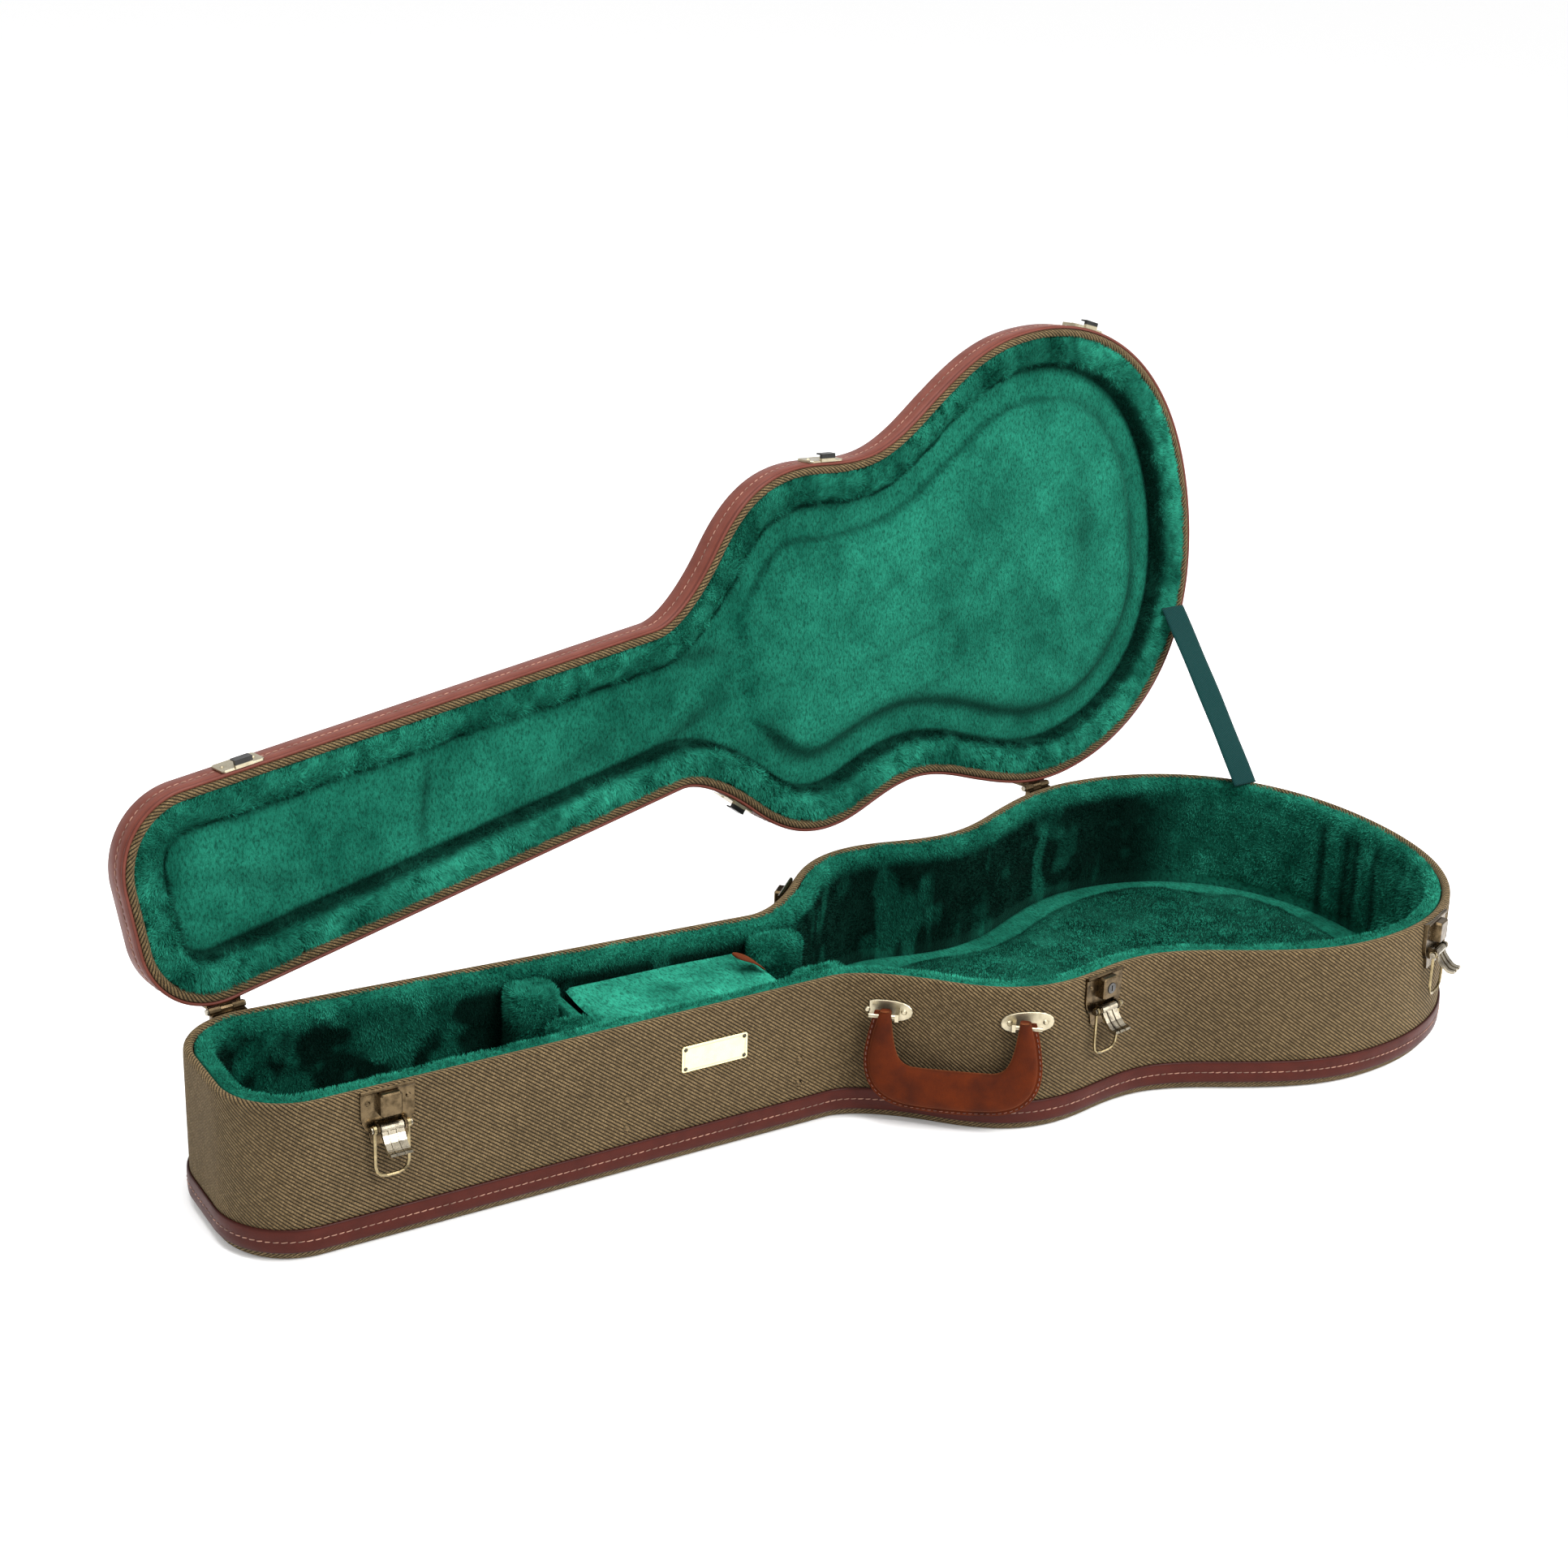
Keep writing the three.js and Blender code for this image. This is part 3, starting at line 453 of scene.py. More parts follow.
def pile(name, spots, normals, flow, length, width, rise, seed, clump, shade):
    """One blade per spot: it leans along flow, rises by rise, and turns with its tuft."""
    chance = np.random.default_rng(seed)
    n = len(spots)
    tuft = np.stack([noise3(spots, clump, seed + k) for k in range(3)], 1)
    fine = chance.normal(0, 0.22, (n, 3))
    aim = normals * rise + flow + tuft * 0.62 + fine
    under = (aim * normals).sum(1)
    aim += normals * np.clip(0.18 - under, 0, None)[:, None]
    aim = unit(aim)
    reach = length * (0.75 + 0.3 * chance.random(n) + 0.2 * tuft[:, 0])
    side = unit(np.cross(aim, normals + chance.normal(0, 0.35, (n, 3))), 1e-9)
    half = width / 2
    points = np.empty((n, 3, 3))
    points[:, 0] = spots - side * half - normals * 0.3
    points[:, 1] = spots + side * half - normals * 0.3
    points[:, 2] = spots + aim * reach[:, None]
    faces = np.arange(3 * n).reshape(n, 3)
    uv = np.tile([[0, 0], [1, 0], [0.5, 1]], (n, 1))
    return new_object(name, points.reshape(-1, 3), [faces], PILE, uv, False, np.repeat(shade, 3))


# ---- node helpers

class Field:
    """A shader value; arithmetic on it adds math nodes to its material."""

    def __init__(self, tree, socket):
        self.tree = tree
        self.socket = socket

    def calc(self, operation, *others):
        return put(self.tree, "ShaderNodeMath", self, *others, operation=operation)

    def __add__(self, other):
        return self.calc("ADD", other)

    def __sub__(self, other):
        return self.calc("SUBTRACT", other)

    def __mul__(self, other):
        return self.calc("MULTIPLY", other)

    def __truediv__(self, other):
        return self.calc("DIVIDE", other)

    def output(self, which):
        """Another output of the same node."""
        return Field(self.tree, self.socket.node.outputs[which])

    def spread(self, low, high, to_low=0.0, to_high=1.0):
        """Clamped map: low goes to to_low, and high to to_high."""
        return put(self.tree, "ShaderNodeMapRange", self, low, high, to_low, to_high)


def plug(tree, value, socket):
    if isinstance(value, Field):
        tree.links.new(value.socket, socket)
    else:
        socket.default_value = value


def put(tree, kind, *inputs, named=(), **settings):
    """Adds a node; inputs by position, named ones as (name, value) pairs."""
    node = tree.nodes.new(kind)
    for key, value in settings.items():
        setattr(node, key, value)
    for which, value in (*enumerate(inputs), *named):
        plug(tree, value, node.inputs[which])
    return Field(tree, node.outputs[0])


class Material:
    """A Principled material, with short names for the nodes it is built from."""

    def __init__(self, name, **sockets):
        self.made = bpy.data.materials.new(name)
        self.made.use_nodes = True
        self.tree = self.made.node_tree
        self.shader = self.tree.nodes["Principled BSDF"]
        self.colour = None
        for socket, value in sockets.items():
            self.shader.inputs[socket.replace("_", " ")].default_value = value

    def node(self, kind, *inputs, **settings):
        return put(self.tree, kind, *inputs, **settings)

    def coords(self, which):
        return self.node("ShaderNodeTexCoord").output(which)

    def split(self, vector):
        first = self.node("ShaderNodeSeparateXYZ", vector)
        return [first.output(k) for k in range(3)]

    def noise(self, place, scale, detail=3.0, rough=0.55):
        return self.node("ShaderNodeTexNoise", place,
                         named=(("Scale", scale), ("Detail", detail), ("Roughness", rough)))

    def mix(self, share, a, b, mode="MIX"):
        node = self.tree.nodes.new("ShaderNodeMix")
        node.data_type = "RGBA"
        node.blend_type = mode
        for index, value in ((0, share), (6, a), (7, b)):
            plug(self.tree, value, node.inputs[index])
        return Field(self.tree, node.outputs[2])

    def paint(self, colour, rough=None):
        self.colour = colour
        plug(self.tree, colour, self.shader.inputs["Base Color"])
        if rough is not None:
            plug(self.tree, rough, self.shader.inputs["Roughness"])

    def bump(self, height, distance, strength=1.0):
        made = self.node("ShaderNodeBump", named=(("Strength", strength),
                                                  ("Distance", distance), ("Height", height)))
        plug(self.tree, made, self.shader.inputs["Normal"])


# ---- materials

def tweed_material():
    """Diagonal twill: light ribs of short threads over dark gaps, in UV metres."""
    mat = Material("tweed_twill", Roughness=0.88, Sheen_Weight=0.12, Sheen_Roughness=0.5,
                   Sheen_Tint=(0.80, 0.62, 0.36, 1), Specular_IOR_Level=0.12)
    lean, pitch, thread = math.radians(-37), 0.0024, 0.0021
    uv = mat.coords("UV")
    u, v, _ = mat.split(uv)
    across = u * math.sin(lean) + v * math.cos(lean) + mat.noise(uv, 260.0, 2.0) * 0.00055
    along = u * math.cos(lean) - v * math.sin(lean)
    rib = across / pitch
    rib_index = rib.calc("FLOOR")
    step = along / thread + rib_index * 0.5
    rib_height = (rib.calc("FRACT") * math.pi).calc("SINE")
    step_height = (step.calc("FRACT") * math.pi).calc("SINE")
    height = rib_height.calc("POWER", 0.8) * (step_height * 0.3 + 0.7)
    pair = mat.node("ShaderNodeCombineXYZ", rib_index, step.calc("FLOOR"))
    chance = mat.node("ShaderNodeTexWhiteNoise", pair)
    fibres = mat.noise(uv, 900.0, 4.0, 0.7)
    light = mat.mix(chance * 0.75, TWEED_LIGHT, TWEED_MID)
    light = mat.mix(fibres.spread(0.3, 0.75), light, TWEED_MID)
    colour = mat.mix(height.spread(0.36, 0.72), TWEED_DARK, light)
    shade = mat.noise(uv, 14.0).spread(0.3, 0.7, 0.86, 1.1)
    grey = mat.node("ShaderNodeCombineXYZ", shade, shade, shade)
    mat.paint(mat.mix(1.0, colour, grey, "MULTIPLY"), height.spread(0.0, 1.0, 0.97, 0.8))
    mat.bump(height + fibres * 0.35, 0.0008)
    return mat.made


def leather_material(name, tone, dark, edge_low, edge_high):
    """Smooth leather-look vinyl band, darker along both edges."""
    mat = Material(name, Roughness=0.42, Coat_Weight=0.03, Coat_Roughness=0.3,
                   Specular_IOR_Level=0.1)
    uv = mat.coords("UV")
    height = mat.split(uv)[1]
    spots = mat.noise(uv, 60.0, 4.0)
    grain = mat.node("ShaderNodeTexVoronoi", uv, named=(("Scale", 1100.0),))
    near_low = (height - edge_low).calc("ABSOLUTE")
    near_high = (height - edge_high).calc("ABSOLUTE")
    edge = near_low.calc("MINIMUM", near_high).spread(0.0022, 0.0005)
    mottled = mat.mix(spots.spread(0.35, 0.75), tone, dark)
    soft = mat.mix(0.6, mottled, tone)
    mat.paint(mat.mix(edge * 0.6, soft, dark), spots.spread(0.3, 0.8, 0.36, 0.5))
    mat.bump(grain + spots * 3.0, 0.00008, 0.6)
    return mat.made


def plush_material(name, bright, lit=PLUSH_LIGHT, blades=False):
    """Velvety pile: nap patches that lie light or dark, with short strokes over them."""
    mat = Material(name, Roughness=0.9, Sheen_Weight=0.09, Sheen_Roughness=0.4,
                   Sheen_Tint=(0.10, 0.75, 0.50, 1), Specular_IOR_Level=0.04)
    place = mat.coords("Object")
    nap = mat.noise(place, 48.0, 4.0, 0.62)
    share = mat.noise(place, 13.0, 3.0, 0.5).spread(0.36, 0.62) * 0.55
    colour = mat.mix(share + nap.spread(0.34, 0.66) * 0.45, PLUSH_MID, lit)
    colour = mat.mix(1.0 - bright, colour, PLUSH_MID)
    if blades:
        tip = mat.split(mat.coords("UV"))[1]
        tufts = mat.noise(place, 170.0, 3.0, 0.6)
        colour = mat.mix(tufts.spread(0.52, 0.36) * 0.4, colour, PLUSH_DARK)
        # Painted shade down in the pile: each blade darkens from its tip to its root.
        colour = mat.mix(tip.spread(-0.5, 0.6), PLUSH_DARK, colour)
        rough = tip.spread(0.0, 1.0, 0.95, 0.62)
    else:
        bend = mat.node("ShaderNodeMapping", place, named=(("Rotation", (0.5, 0.4, 0.6)),
                                                           ("Scale", (1.0, 0.4, 0.6))))
        strokes = mat.noise(bend, 520.0, 4.0, 0.75)
        colour = mat.mix(strokes.spread(0.56, 0.34) * 0.72, colour, PLUSH_DARK)
        rough = strokes.spread(0.3, 0.7, 0.98, 0.8)
        mat.bump(strokes + nap * 1.2, 0.0022)
    # Painted shade: the shade attribute of each point mixes the colour towards PLUSH_DARK.
    shade = mat.node("ShaderNodeAttribute", attribute_name="shade").output("Fac")
    mat.paint(mat.mix(shade, colour, PLUSH_DARK), rough)
    return mat.made


def suede_material():
    mat = Material("suede_leather", Roughness=0.9, Sheen_Weight=0.18, Sheen_Roughness=0.4,
                   Sheen_Tint=(0.9, 0.30, 0.10, 1), Specular_IOR_Level=0.1)
    place = mat.coords("Object")
    patches = mat.noise(place, 38.0, 5.0, 0.6)
    nap = mat.noise(place, 1500.0, 3.0, 0.7)
    colour = mat.mix(patches.spread(0.3, 0.75), SUEDE, SUEDE_DARK)
    colour = mat.mix(nap.spread(0.55, 0.8), colour, SUEDE_DARK)
    mat.paint(colour, patches.spread(0.3, 0.7, 0.95, 0.8))
    mat.bump(nap, 0.0003, 0.7)
    return mat.made


def thread_material(name, tone):
    mat = Material(name, Roughness=0.7, Sheen_Weight=0.2)
    place = mat.coords("Object")
    twist = mat.node("ShaderNodeTexWave", place, named=(("Scale", 900.0),)).output(1)
    wear = mat.noise(place, 90.0, 2.0)
    dark = tuple(c * 0.35 for c in tone[:3]) + (1,)
    colour = mat.mix(twist * 0.4, tone, dark)
    mat.paint(mat.mix(wear.spread(0.4, 0.62), dark, colour), wear.spread(0.3, 0.7, 0.8, 0.55))
    mat.bump(twist, 0.0001, 0.6)
    return mat.made


def metal(name, tone, dark, rough, wear):
    """Plated metal: brushed grain, darker tarnish in soft patches."""
    mat = Material(name, Metallic=1.0, Roughness=rough)
    place = mat.coords("Object")
    stretch = mat.node("ShaderNodeMapping", place, named=(("Scale", (1.0, 1.0, 0.08)),))
    brushed = mat.noise(stretch, 2100.0, 3.0, 0.6)
    tarnish = mat.noise(place, 147.0, 4.0, 0.6)
    colour = mat.mix(tarnish.spread(0.42, 0.72) * wear, tone, dark)
    mat.paint(colour, tarnish.spread(0.3, 0.7, rough * 0.8, rough * 1.35))
    mat.bump(brushed, 0.00002, 0.2)
    return mat


def webbing_material():
    mat = Material("strap_webbing", Roughness=0.85, Sheen_Weight=0.04, Specular_IOR_Level=0.08)
    uv = mat.coords("UV")
    u, v, _ = mat.split(uv)
    cross = (v * (2 * math.pi / 0.0016)).calc("SINE")
    warp = (u * (2 * math.pi / 0.0021)).calc("SINE")
    weave = cross * warp
    fray = mat.noise(uv, 300.0)
    colour = mat.mix(weave.spread(-1.0, 1.0), WEB_DARK, WEB_LIGHT)
    mat.paint(mat.mix(fray * 0.4, colour, WEB_FRAY), fray.spread(0.3, 0.7, 0.92, 0.75))
    mat.bump(weave, 0.0003, 0.8)
    return mat.made


TWEED = tweed_material()
BASE_BAND = leather_material("band_leather_base", LEATHER, LEATHER_DARK, 0.001, 0.0195)
# The lid band's leather is a lighter copy, LEATHER_LIT over LEATHER: painted light and reflection
# for the top of the case.
LID_BAND = leather_material("band_leather_lid", LEATHER_LIT, LEATHER, 0.001, 0.026)
PLUSH = plush_material("plush_backing", 0.75)
PLUSH_SHORT = plush_material("plush_short_pile", 1.0)
PLUSH_NAPPED = plush_material("plush_napped", 1.0, PLUSH_TIP)
PILE = plush_material("plush_pile", 1.0, PLUSH_TIP, blades=True)
SUEDE_LEATHER = suede_material()
STITCH = thread_material("thread_tan", THREAD)
STITCH_RUST = thread_material("thread_rust", RUST)
NICKEL = metal("nickel_plate", (0.30, 0.265, 0.20, 1), (0.05, 0.042, 0.03, 1), 0.2, 0.9).made
SATIN = metal("satin_champagne", CHAMPAGNE, CHAMPAGNE_DARK, 0.34, 0.5).made
BRONZE = metal("antique_bronze", (0.120, 0.085, 0.046, 1), (0.018, 0.012, 0.006, 1), 0.26,
               0.9).made
BRASS_WIRE = metal("brass_wire", (0.30, 0.24, 0.13, 1), (0.07, 0.05, 0.025, 1), 0.22, 0.6).made
GUNMETAL = metal("gunmetal", (0.10, 0.098, 0.095, 1), (0.03, 0.029, 0.028, 1), 0.3, 0.6).made
WEBBING = webbing_material()


# ---- tweed shells

def arc_points(centre, radius, start, end, steps):
    angles = np.radians(np.linspace(start, end, steps))
    return [(centre[0] + radius * math.cos(a), centre[1] + radius * math.sin(a)) for a in angles]


base_section = (
    [(WALL_THICK, 10.2), (WALL_THICK, 60), (WALL_THICK, 116.8)]
    + arc_points((3.6, 116.6), 3.4, 0, 180, 9)
    + [(0, 112), (0, 90), (0, 60), (0, 30), (0, 10.2)]
)
base_wall, _ = sweep("base_wall_tweed", base_section, TWEED)
finish_piece(base_wall, "base", ["base_side_wall"])


def edge_slab(name, section, replaced, body, place):
    """Panel whose rim follows a section, closed by flat caps across the plan."""
    section = np.array(section, float)
    rows = len(section)
    points = np.concatenate([
        np.column_stack([PLAN - NORMAL * inward, np.full(COUNT, z)]) for inward, z in section
    ])
    i = np.arange(COUNT)
    faces = []
    uvs = []
    height = run_length(section)
    for r in range(rows - 1):
        low, high = r * COUNT, (r + 1) * COUNT
        quad = np.stack([low + i, low + (i + 1) % COUNT, high + (i + 1) % COUNT, high + i], 1)
        faces.append(quad)
        u = np.stack([ARC[i], ARC[i + 1], ARC[i + 1], ARC[i]], 1)
        v = np.broadcast_to([height[r], height[r], height[r + 1], height[r + 1]], u.shape)
        uvs.append(np.stack([u, v], 2).reshape(-1, 2) * MM)
    k = np.arange(COUNT // 2)
    cap = np.stack([k, k + 1, (COUNT - k - 1) % COUNT, (COUNT - k) % COUNT], 1)
    for start, turn in ((0, -1), ((rows - 1) * COUNT, 1)):
        for part in (cap[1:-1], cap[:1, :3], cap[-1:, [0, 1, 3]]):
            part = part[:, ::turn] + start
            faces.append(part)
            uvs.append(points[part.ravel()][:, :2] * MM)
    if inside_out(points, np.concatenate([f for f in faces if f.shape[1] == 4])):
        uvs = [u.reshape(len(f), -1, 2)[:, ::-1].reshape(-1, 2) for f, u in zip(faces, uvs)]
        faces = [f[:, ::-1] for f in faces]
    obj = new_object(name, moved(points, place), faces, TWEED, np.concatenate(uvs))
    return finish_piece(obj, body, [replaced])


bottom_section = [(8, 0.0), (6, 0.25), (4.2, 1.0), (2.6, 2.3), (1.4, 4.2), (0.5, 6.6), (0, 9.7)]
edge_slab("base_bottom_tweed", bottom_section, "base_bottom_panel", "base", FLAT)
top_section = [(0, 146.3), (0.2, 148.4), (1.0, 150.4), (2.4, 151.9), (4.6, 152.7), (8, 153.0)]
edge_slab("lid_top_tweed", top_section, "lid_top_panel", "lid", LID_OPEN)

lid_section = (
    [(0, 146.0), (0, 136), (0, 125)]
    + arc_points((3.5, 124.6), 3.4, 180, 360, 9)
    + [(WALL_THICK, 130), (WALL_THICK, 146.0)]
)
lid_wall, _ = sweep("lid_wall_tweed", lid_section, TWEED, LID_OPEN)
finish_piece(lid_wall, "lid", ["lid_side_wall"])


# ---- stitched bands

def band_section(low, high, bead):
    """Thin band with soft edges; a rolled bead along its low edge where bead is true."""
    inner = -0.3
    flat = -BAND_OUT + 0.5
    points = [(inner, high), (flat + 0.5, high - 0.1), (flat, high - 0.9)]
    middle = (low + high) / 2
    points += [(flat - 0.25, middle + 4), (flat - 0.05, middle + 0.7), (flat + 0.1, middle),
               (flat - 0.05, middle - 0.7), (flat - 0.25, middle - 4)]
    if bead:
        points += [(flat, low + 4.4), (flat + 0.7, low + 3.6), (flat - 0.2, low + 3.1)]
        points += [(flat - 0.7, low + 1.8), (flat - 0.3, low + 0.4), (inner, low)]
    else:
        points += [(flat, low + 0.9), (flat + 0.5, low + 0.1), (inner, low)]
    return points


base_band, _ = sweep("base_band", band_section(BAND_LOW, BAND_HIGH, False), BASE_BAND)
finish_piece(base_band, "base", ["base_binding"])
lid_band, _ = sweep("lid_band", band_section(122.6, 148.4, True), LID_BAND, LID_OPEN)
finish_piece(lid_band, "lid", ["lid_binding"])


def stitch_shape(sides=6):
    """Unit stitch lying along X: a thin rod with drooping round ends."""
    rings = [(-0.5, 0.35, -0.55), (-0.42, 0.8, -0.15), (-0.2, 1, 0.1), (0.2, 1, 0.1),
             (0.42, 0.8, -0.15), (0.5, 0.35, -0.55)]
    points = []
    for x, radius, lift in rings:
        for s in range(sides):
            a = 2 * math.pi * s / sides
            points.append((x, radius * math.cos(a), radius * math.sin(a) + lift))
    faces = list(loop_faces(len(rings), sides)[0][:-sides, [0, 3, 2, 1]])
    last = (len(rings) - 1) * sides
    for s in range(1, sides - 1, 2):
        t = (s + 2) % sides
        faces.append((0, t, s + 1, s))
        faces.append((last, last + s, last + s + 1, last + t))
    return np.array(points), np.array(faces)


STITCH_POINTS, STITCH_FACES = stitch_shape()


def stitches(name, spots, along, out, length, radius, material, tilt=0.0):
    """Row of stitches: spots, direction along the seam and outward direction at each."""
    n = len(spots)
    chance = np.random.default_rng(n)
    side = np.cross(out, along)
    turn = tilt + chance.normal(0, 0.03, n)
    a = along * np.cos(turn)[:, None] + side * np.sin(turn)[:, None]
    b = np.cross(out, a)
    reach = length * (0.92 + 0.16 * chance.random(n))
    base = STITCH_POINTS[None]
    points = (spots[:, None] + a[:, None] * base[..., 0:1] * reach[:, None, None]
              + b[:, None] * base[..., 1:2] * radius + out[:, None] * base[..., 2:3] * radius)
    faces = STITCH_FACES[None] + (np.arange(n) * len(STITCH_POINTS))[:, None, None]
    return new_object(name, points.reshape(-1, 3), [faces.reshape(-1, 4)], material)


STITCH_PITCH = 5.6
STITCH_LENGTH = 4.3
STITCH_RADIUS = 0.42
STITCH_OUT = 2.05


def plan_stitches(name, z, place, body):
    """Stitch line round the case, at height z of the closed case."""
    total = ARC[-1]
    n = int(total / STITCH_PITCH)
    at = (np.arange(n) + 0.5) * total / n
    spot = at_lengths(at, ARC, closed(PLAN))
    out = unit(at_lengths(at, ARC, closed(NORMAL)))
    spots = np.column_stack([spot + out * STITCH_OUT, np.full(n, z)])
    out = level(out)
    along = level(out[:, :2] @ [[0, 1], [-1, 0]])
    turn = np.array(place)[:3, :3]
    obj = stitches(name, moved(spots, place), along @ turn.T, out @ turn.T, STITCH_LENGTH,
                   STITCH_RADIUS, STITCH, 0.1)
    return finish_piece(obj, body)


plan_stitches("base_band_stitches", 17.0, FLAT, "base")
plan_stitches("lid_band_stitches", 135.5, LID_OPEN, "lid")


# ---- plush linings

FOLD_LINES = ((513.0, 24.0), (515.0, -16.0))


def tail_folds(points):
    """Two upright tucks in the wall lining near the tail: how far in, and how much painted shade
    lies beside them.
    """
    ridge, valley = 0.0, 0.0
    for x, y in FOLD_LINES:
        away = np.hypot(points[:, 0] - x, points[:, 1] - y)
        ridge = ridge + np.exp(-(away / 7) ** 2)
        valley = valley + np.exp(-((away - 14) / 6) ** 2)
    return ridge, valley


def base_push(points, inward, z):
    """Folds of the loose lining on the inner face, small puffs along the rim."""
    arc_noise = noise3(points * (1, 1, 0.35), 38, 3)
    slack = noise3(points * (1, 1, 0.6), 90, 5)
    fine = noise3(points, 13, 4)
    inner = smooth((inward - 15) / 4) * smooth((108 - z) / 20) * smooth((z - 24) / 14)
    rim = smooth((z - 104) / 10) * smooth((inward - 8.5) / 2)
    ridge, _ = tail_folds(points)
    return inner * (2.2 * arc_noise + 2.4 * slack + 0.5 + 3.6 * ridge) + rim * (0.7 * fine)


def wall_shade(points, inward=None):
    """Painted shade down the inner walls of the base, least at the tail where the light reaches,
    broken by lighter streaks and patches that are painted sheen, with painted shade beside the tail
    folds.
    """
    x, z = points[:, 0], points[:, 2]
    deep = smooth((114 - z) / 13)
    tail = 1 - 0.85 * smooth((x - 400) / 80)
    tall = points * (1, 1, 0.3)
    streak = smooth((noise3(tall, 24, 15) + 0.5 * noise3(tall, 9, 16) - 0.42) / 0.3)
    head = smooth((-250 - x) / 40)
    patch = smooth((noise3(points, 30, 17) + 0.5 * noise3(points, 11, 18) - 0.3 + 0.5 * head) / 0.5)
    light = 0.45 * streak + (0.25 + 0.3 * head) * patch
    _, valley = tail_folds(points)
    return np.clip(deep * np.maximum(tail * (0.99 - light), 0.8 * valley), 0, 0.99)


lining_section = rounded([
    (WALL_THICK + 0.3, 10.3), (WALL_THICK + 0.3, 60), (WALL_THICK + 0.3, 116.5),
    (9.5, 119.3), (14, 119.6), (18.6, 117.4), (PAD_INNER + 0.3, 110), (PAD_INNER, 98),
    (PAD_INNER, 84), (PAD_INNER, 70), (PAD_INNER, 56), (PAD_INNER, 42), (PAD_INNER, 28),
    (PAD_INNER, 10.3), (14, 10.2),
], 2)
base_lining, lining_points = sweep("base_lining", lining_section, PLUSH, push=base_push,
                                   tone=wall_shade)
finish_piece(base_lining, "base", ["base_wall_padding"])


def ring_push(points, inward, z):
    """Tufts of the long-pile ring; the input is the closed-lid position."""
    puff = noise3(points, 17, 11)
    broad = noise3(points, 46, 12)
    face = smooth((140 - z) / 8) * smooth((inward - 8) / 3)
    return face * (1.1 * puff + 1.2 * broad)


# Painted shade on the ring's lining towards its inner edge, under the overhang.
def ring_edge_shade(points, inward):
    return 0.9 * smooth((inward - 27.5) / 4)


ring_section = rounded([
    (WALL_THICK + 0.3, 145.5), (WALL_THICK + 0.3, 132), (8.0, 125.5), (11, 122.6),
    (17, 121.2), (23, 121.9), (28.5, 124.5), (LID_PAD_INNER, 130), (LID_PAD_INNER + 0.5, 138),
    (LID_PAD_INNER - 1, 145.5),
], 2)
lid_ring, ring_points = sweep("lid_ring", ring_section, PLUSH, LID_OPEN, ring_push, ring_edge_shade)
finish_piece(lid_ring, "lid", ["lid_wall_padding"])

CREASES = (
    ((235, 48), (262, -40), 7.0, 1.6),
    ((60, -10), (150, 30), 9.0, 0.9),
    ((150, -30), (215, 20), 10.0, -0.9),
    ((330, 30), (440, 10), 9.0, 0.9),
    ((452, 42), (540, 8), 8.0, 1.3),
    ((470, -38), (560, -20), 8.0, 1.2),
    ((640, 40), (800, 20), 4.0, 0.55),
    ((800, 20), (880, -30), 4.0, 0.5),
    ((660, -10), (850, -60), 4.0, 0.5),
    ((690, 80), (840, 70), 4.0, 0.45),
    ((930, 60), (960, -60), 12.0, 0.8),
)


def crease_depth(plan):
    """Soft grooves along short lines: (start, end, width, depth) in case-length coordinates."""
    depth = np.zeros(len(plan))
    bend = noise3(level(plan), 60, 21) * 6
    for start, end, width, amount in CREASES:
        a = np.array(start, float) - (MID_X, 0)
        b = np.array(end, float) - (MID_X, 0)
        line = b - a
        t = np.clip(((plan - a) @ line) / (line @ line), 0, 1)
        away = np.linalg.norm(plan - a - t[:, None] * line, axis=1) + bend * 0.4
        depth += amount * np.exp(-(away / width) ** 2) * np.sin(math.pi * np.clip(t, 0.08, 0.92))
    return depth


PAD_INSET = 58.0


def pad_mask(plan, away):
    """1 on the raised guitar-shaped pad, 0 off it, with a soft edge."""
    wave = noise3(level(plan), 70, 31) * 2.5
    edge = smooth((away - PAD_INSET + wave) / 9)
    start = smooth((plan[:, 0] + MID_X - 552) / 16)
    return edge * start


def lid_shade(plan, away, crease):
    """Painted shade against the ring, in the creases and round the pad, most on its lower edges,
    which face away from the light.
    """
    wave = noise3(level(plan), 45, 32) * 3
    ring_line = np.exp(-np.clip((away - LID_PAD_INNER) / 3.4, 0, None) ** 2)
    body = smooth((plan[:, 0] + MID_X - 560) / 20)
    lower = smooth((plan[:, 1] + 20) / 60) + 0.6 * smooth((plan[:, 0] - 380) / 60)
    lower = np.clip(lower, 0, 1)
    wide = np.exp(-((away - PAD_INSET - 3 + wave) / 9) ** 2) * lower * 0.75
    thin = np.exp(-((away - PAD_INSET - 3 + wave) / 2.6) ** 2) * 0.5
    fold = np.clip(crease, 0, None) * 0.45
    return np.clip(ring_line * 0.98 + body * np.maximum(wide, thin) + fold, 0, 0.95)


def lid_field():
    columns, rows = 430, 110
    plan = across_grid(LID_PAD_INNER + 0.2, columns, rows)
    away = wall_distance(plan)
    flat = level(plan)
    gentle = noise3(flat, 80, 41) * 0.8 + noise3(flat, 33, 42) * 0.45
    edge = smooth((away - LID_PAD_INNER) / 7)
    swell = 1.6 * smooth((away - LID_PAD_INNER) / 14) + gentle * edge
    crease = crease_depth(plan) * edge
    top = 140.6 - swell - 5.6 * pad_mask(plan, away) + crease
    shade = lid_shade(plan, away, crease)
    return closed_slab("lid_lining", plan, columns, rows, np.full(len(plan), 145.8), top,
                       PLUSH_SHORT, LID_OPEN, shade)


finish_piece(lid_field(), "lid", ["lid_top_padding", "lid_body_pad"])


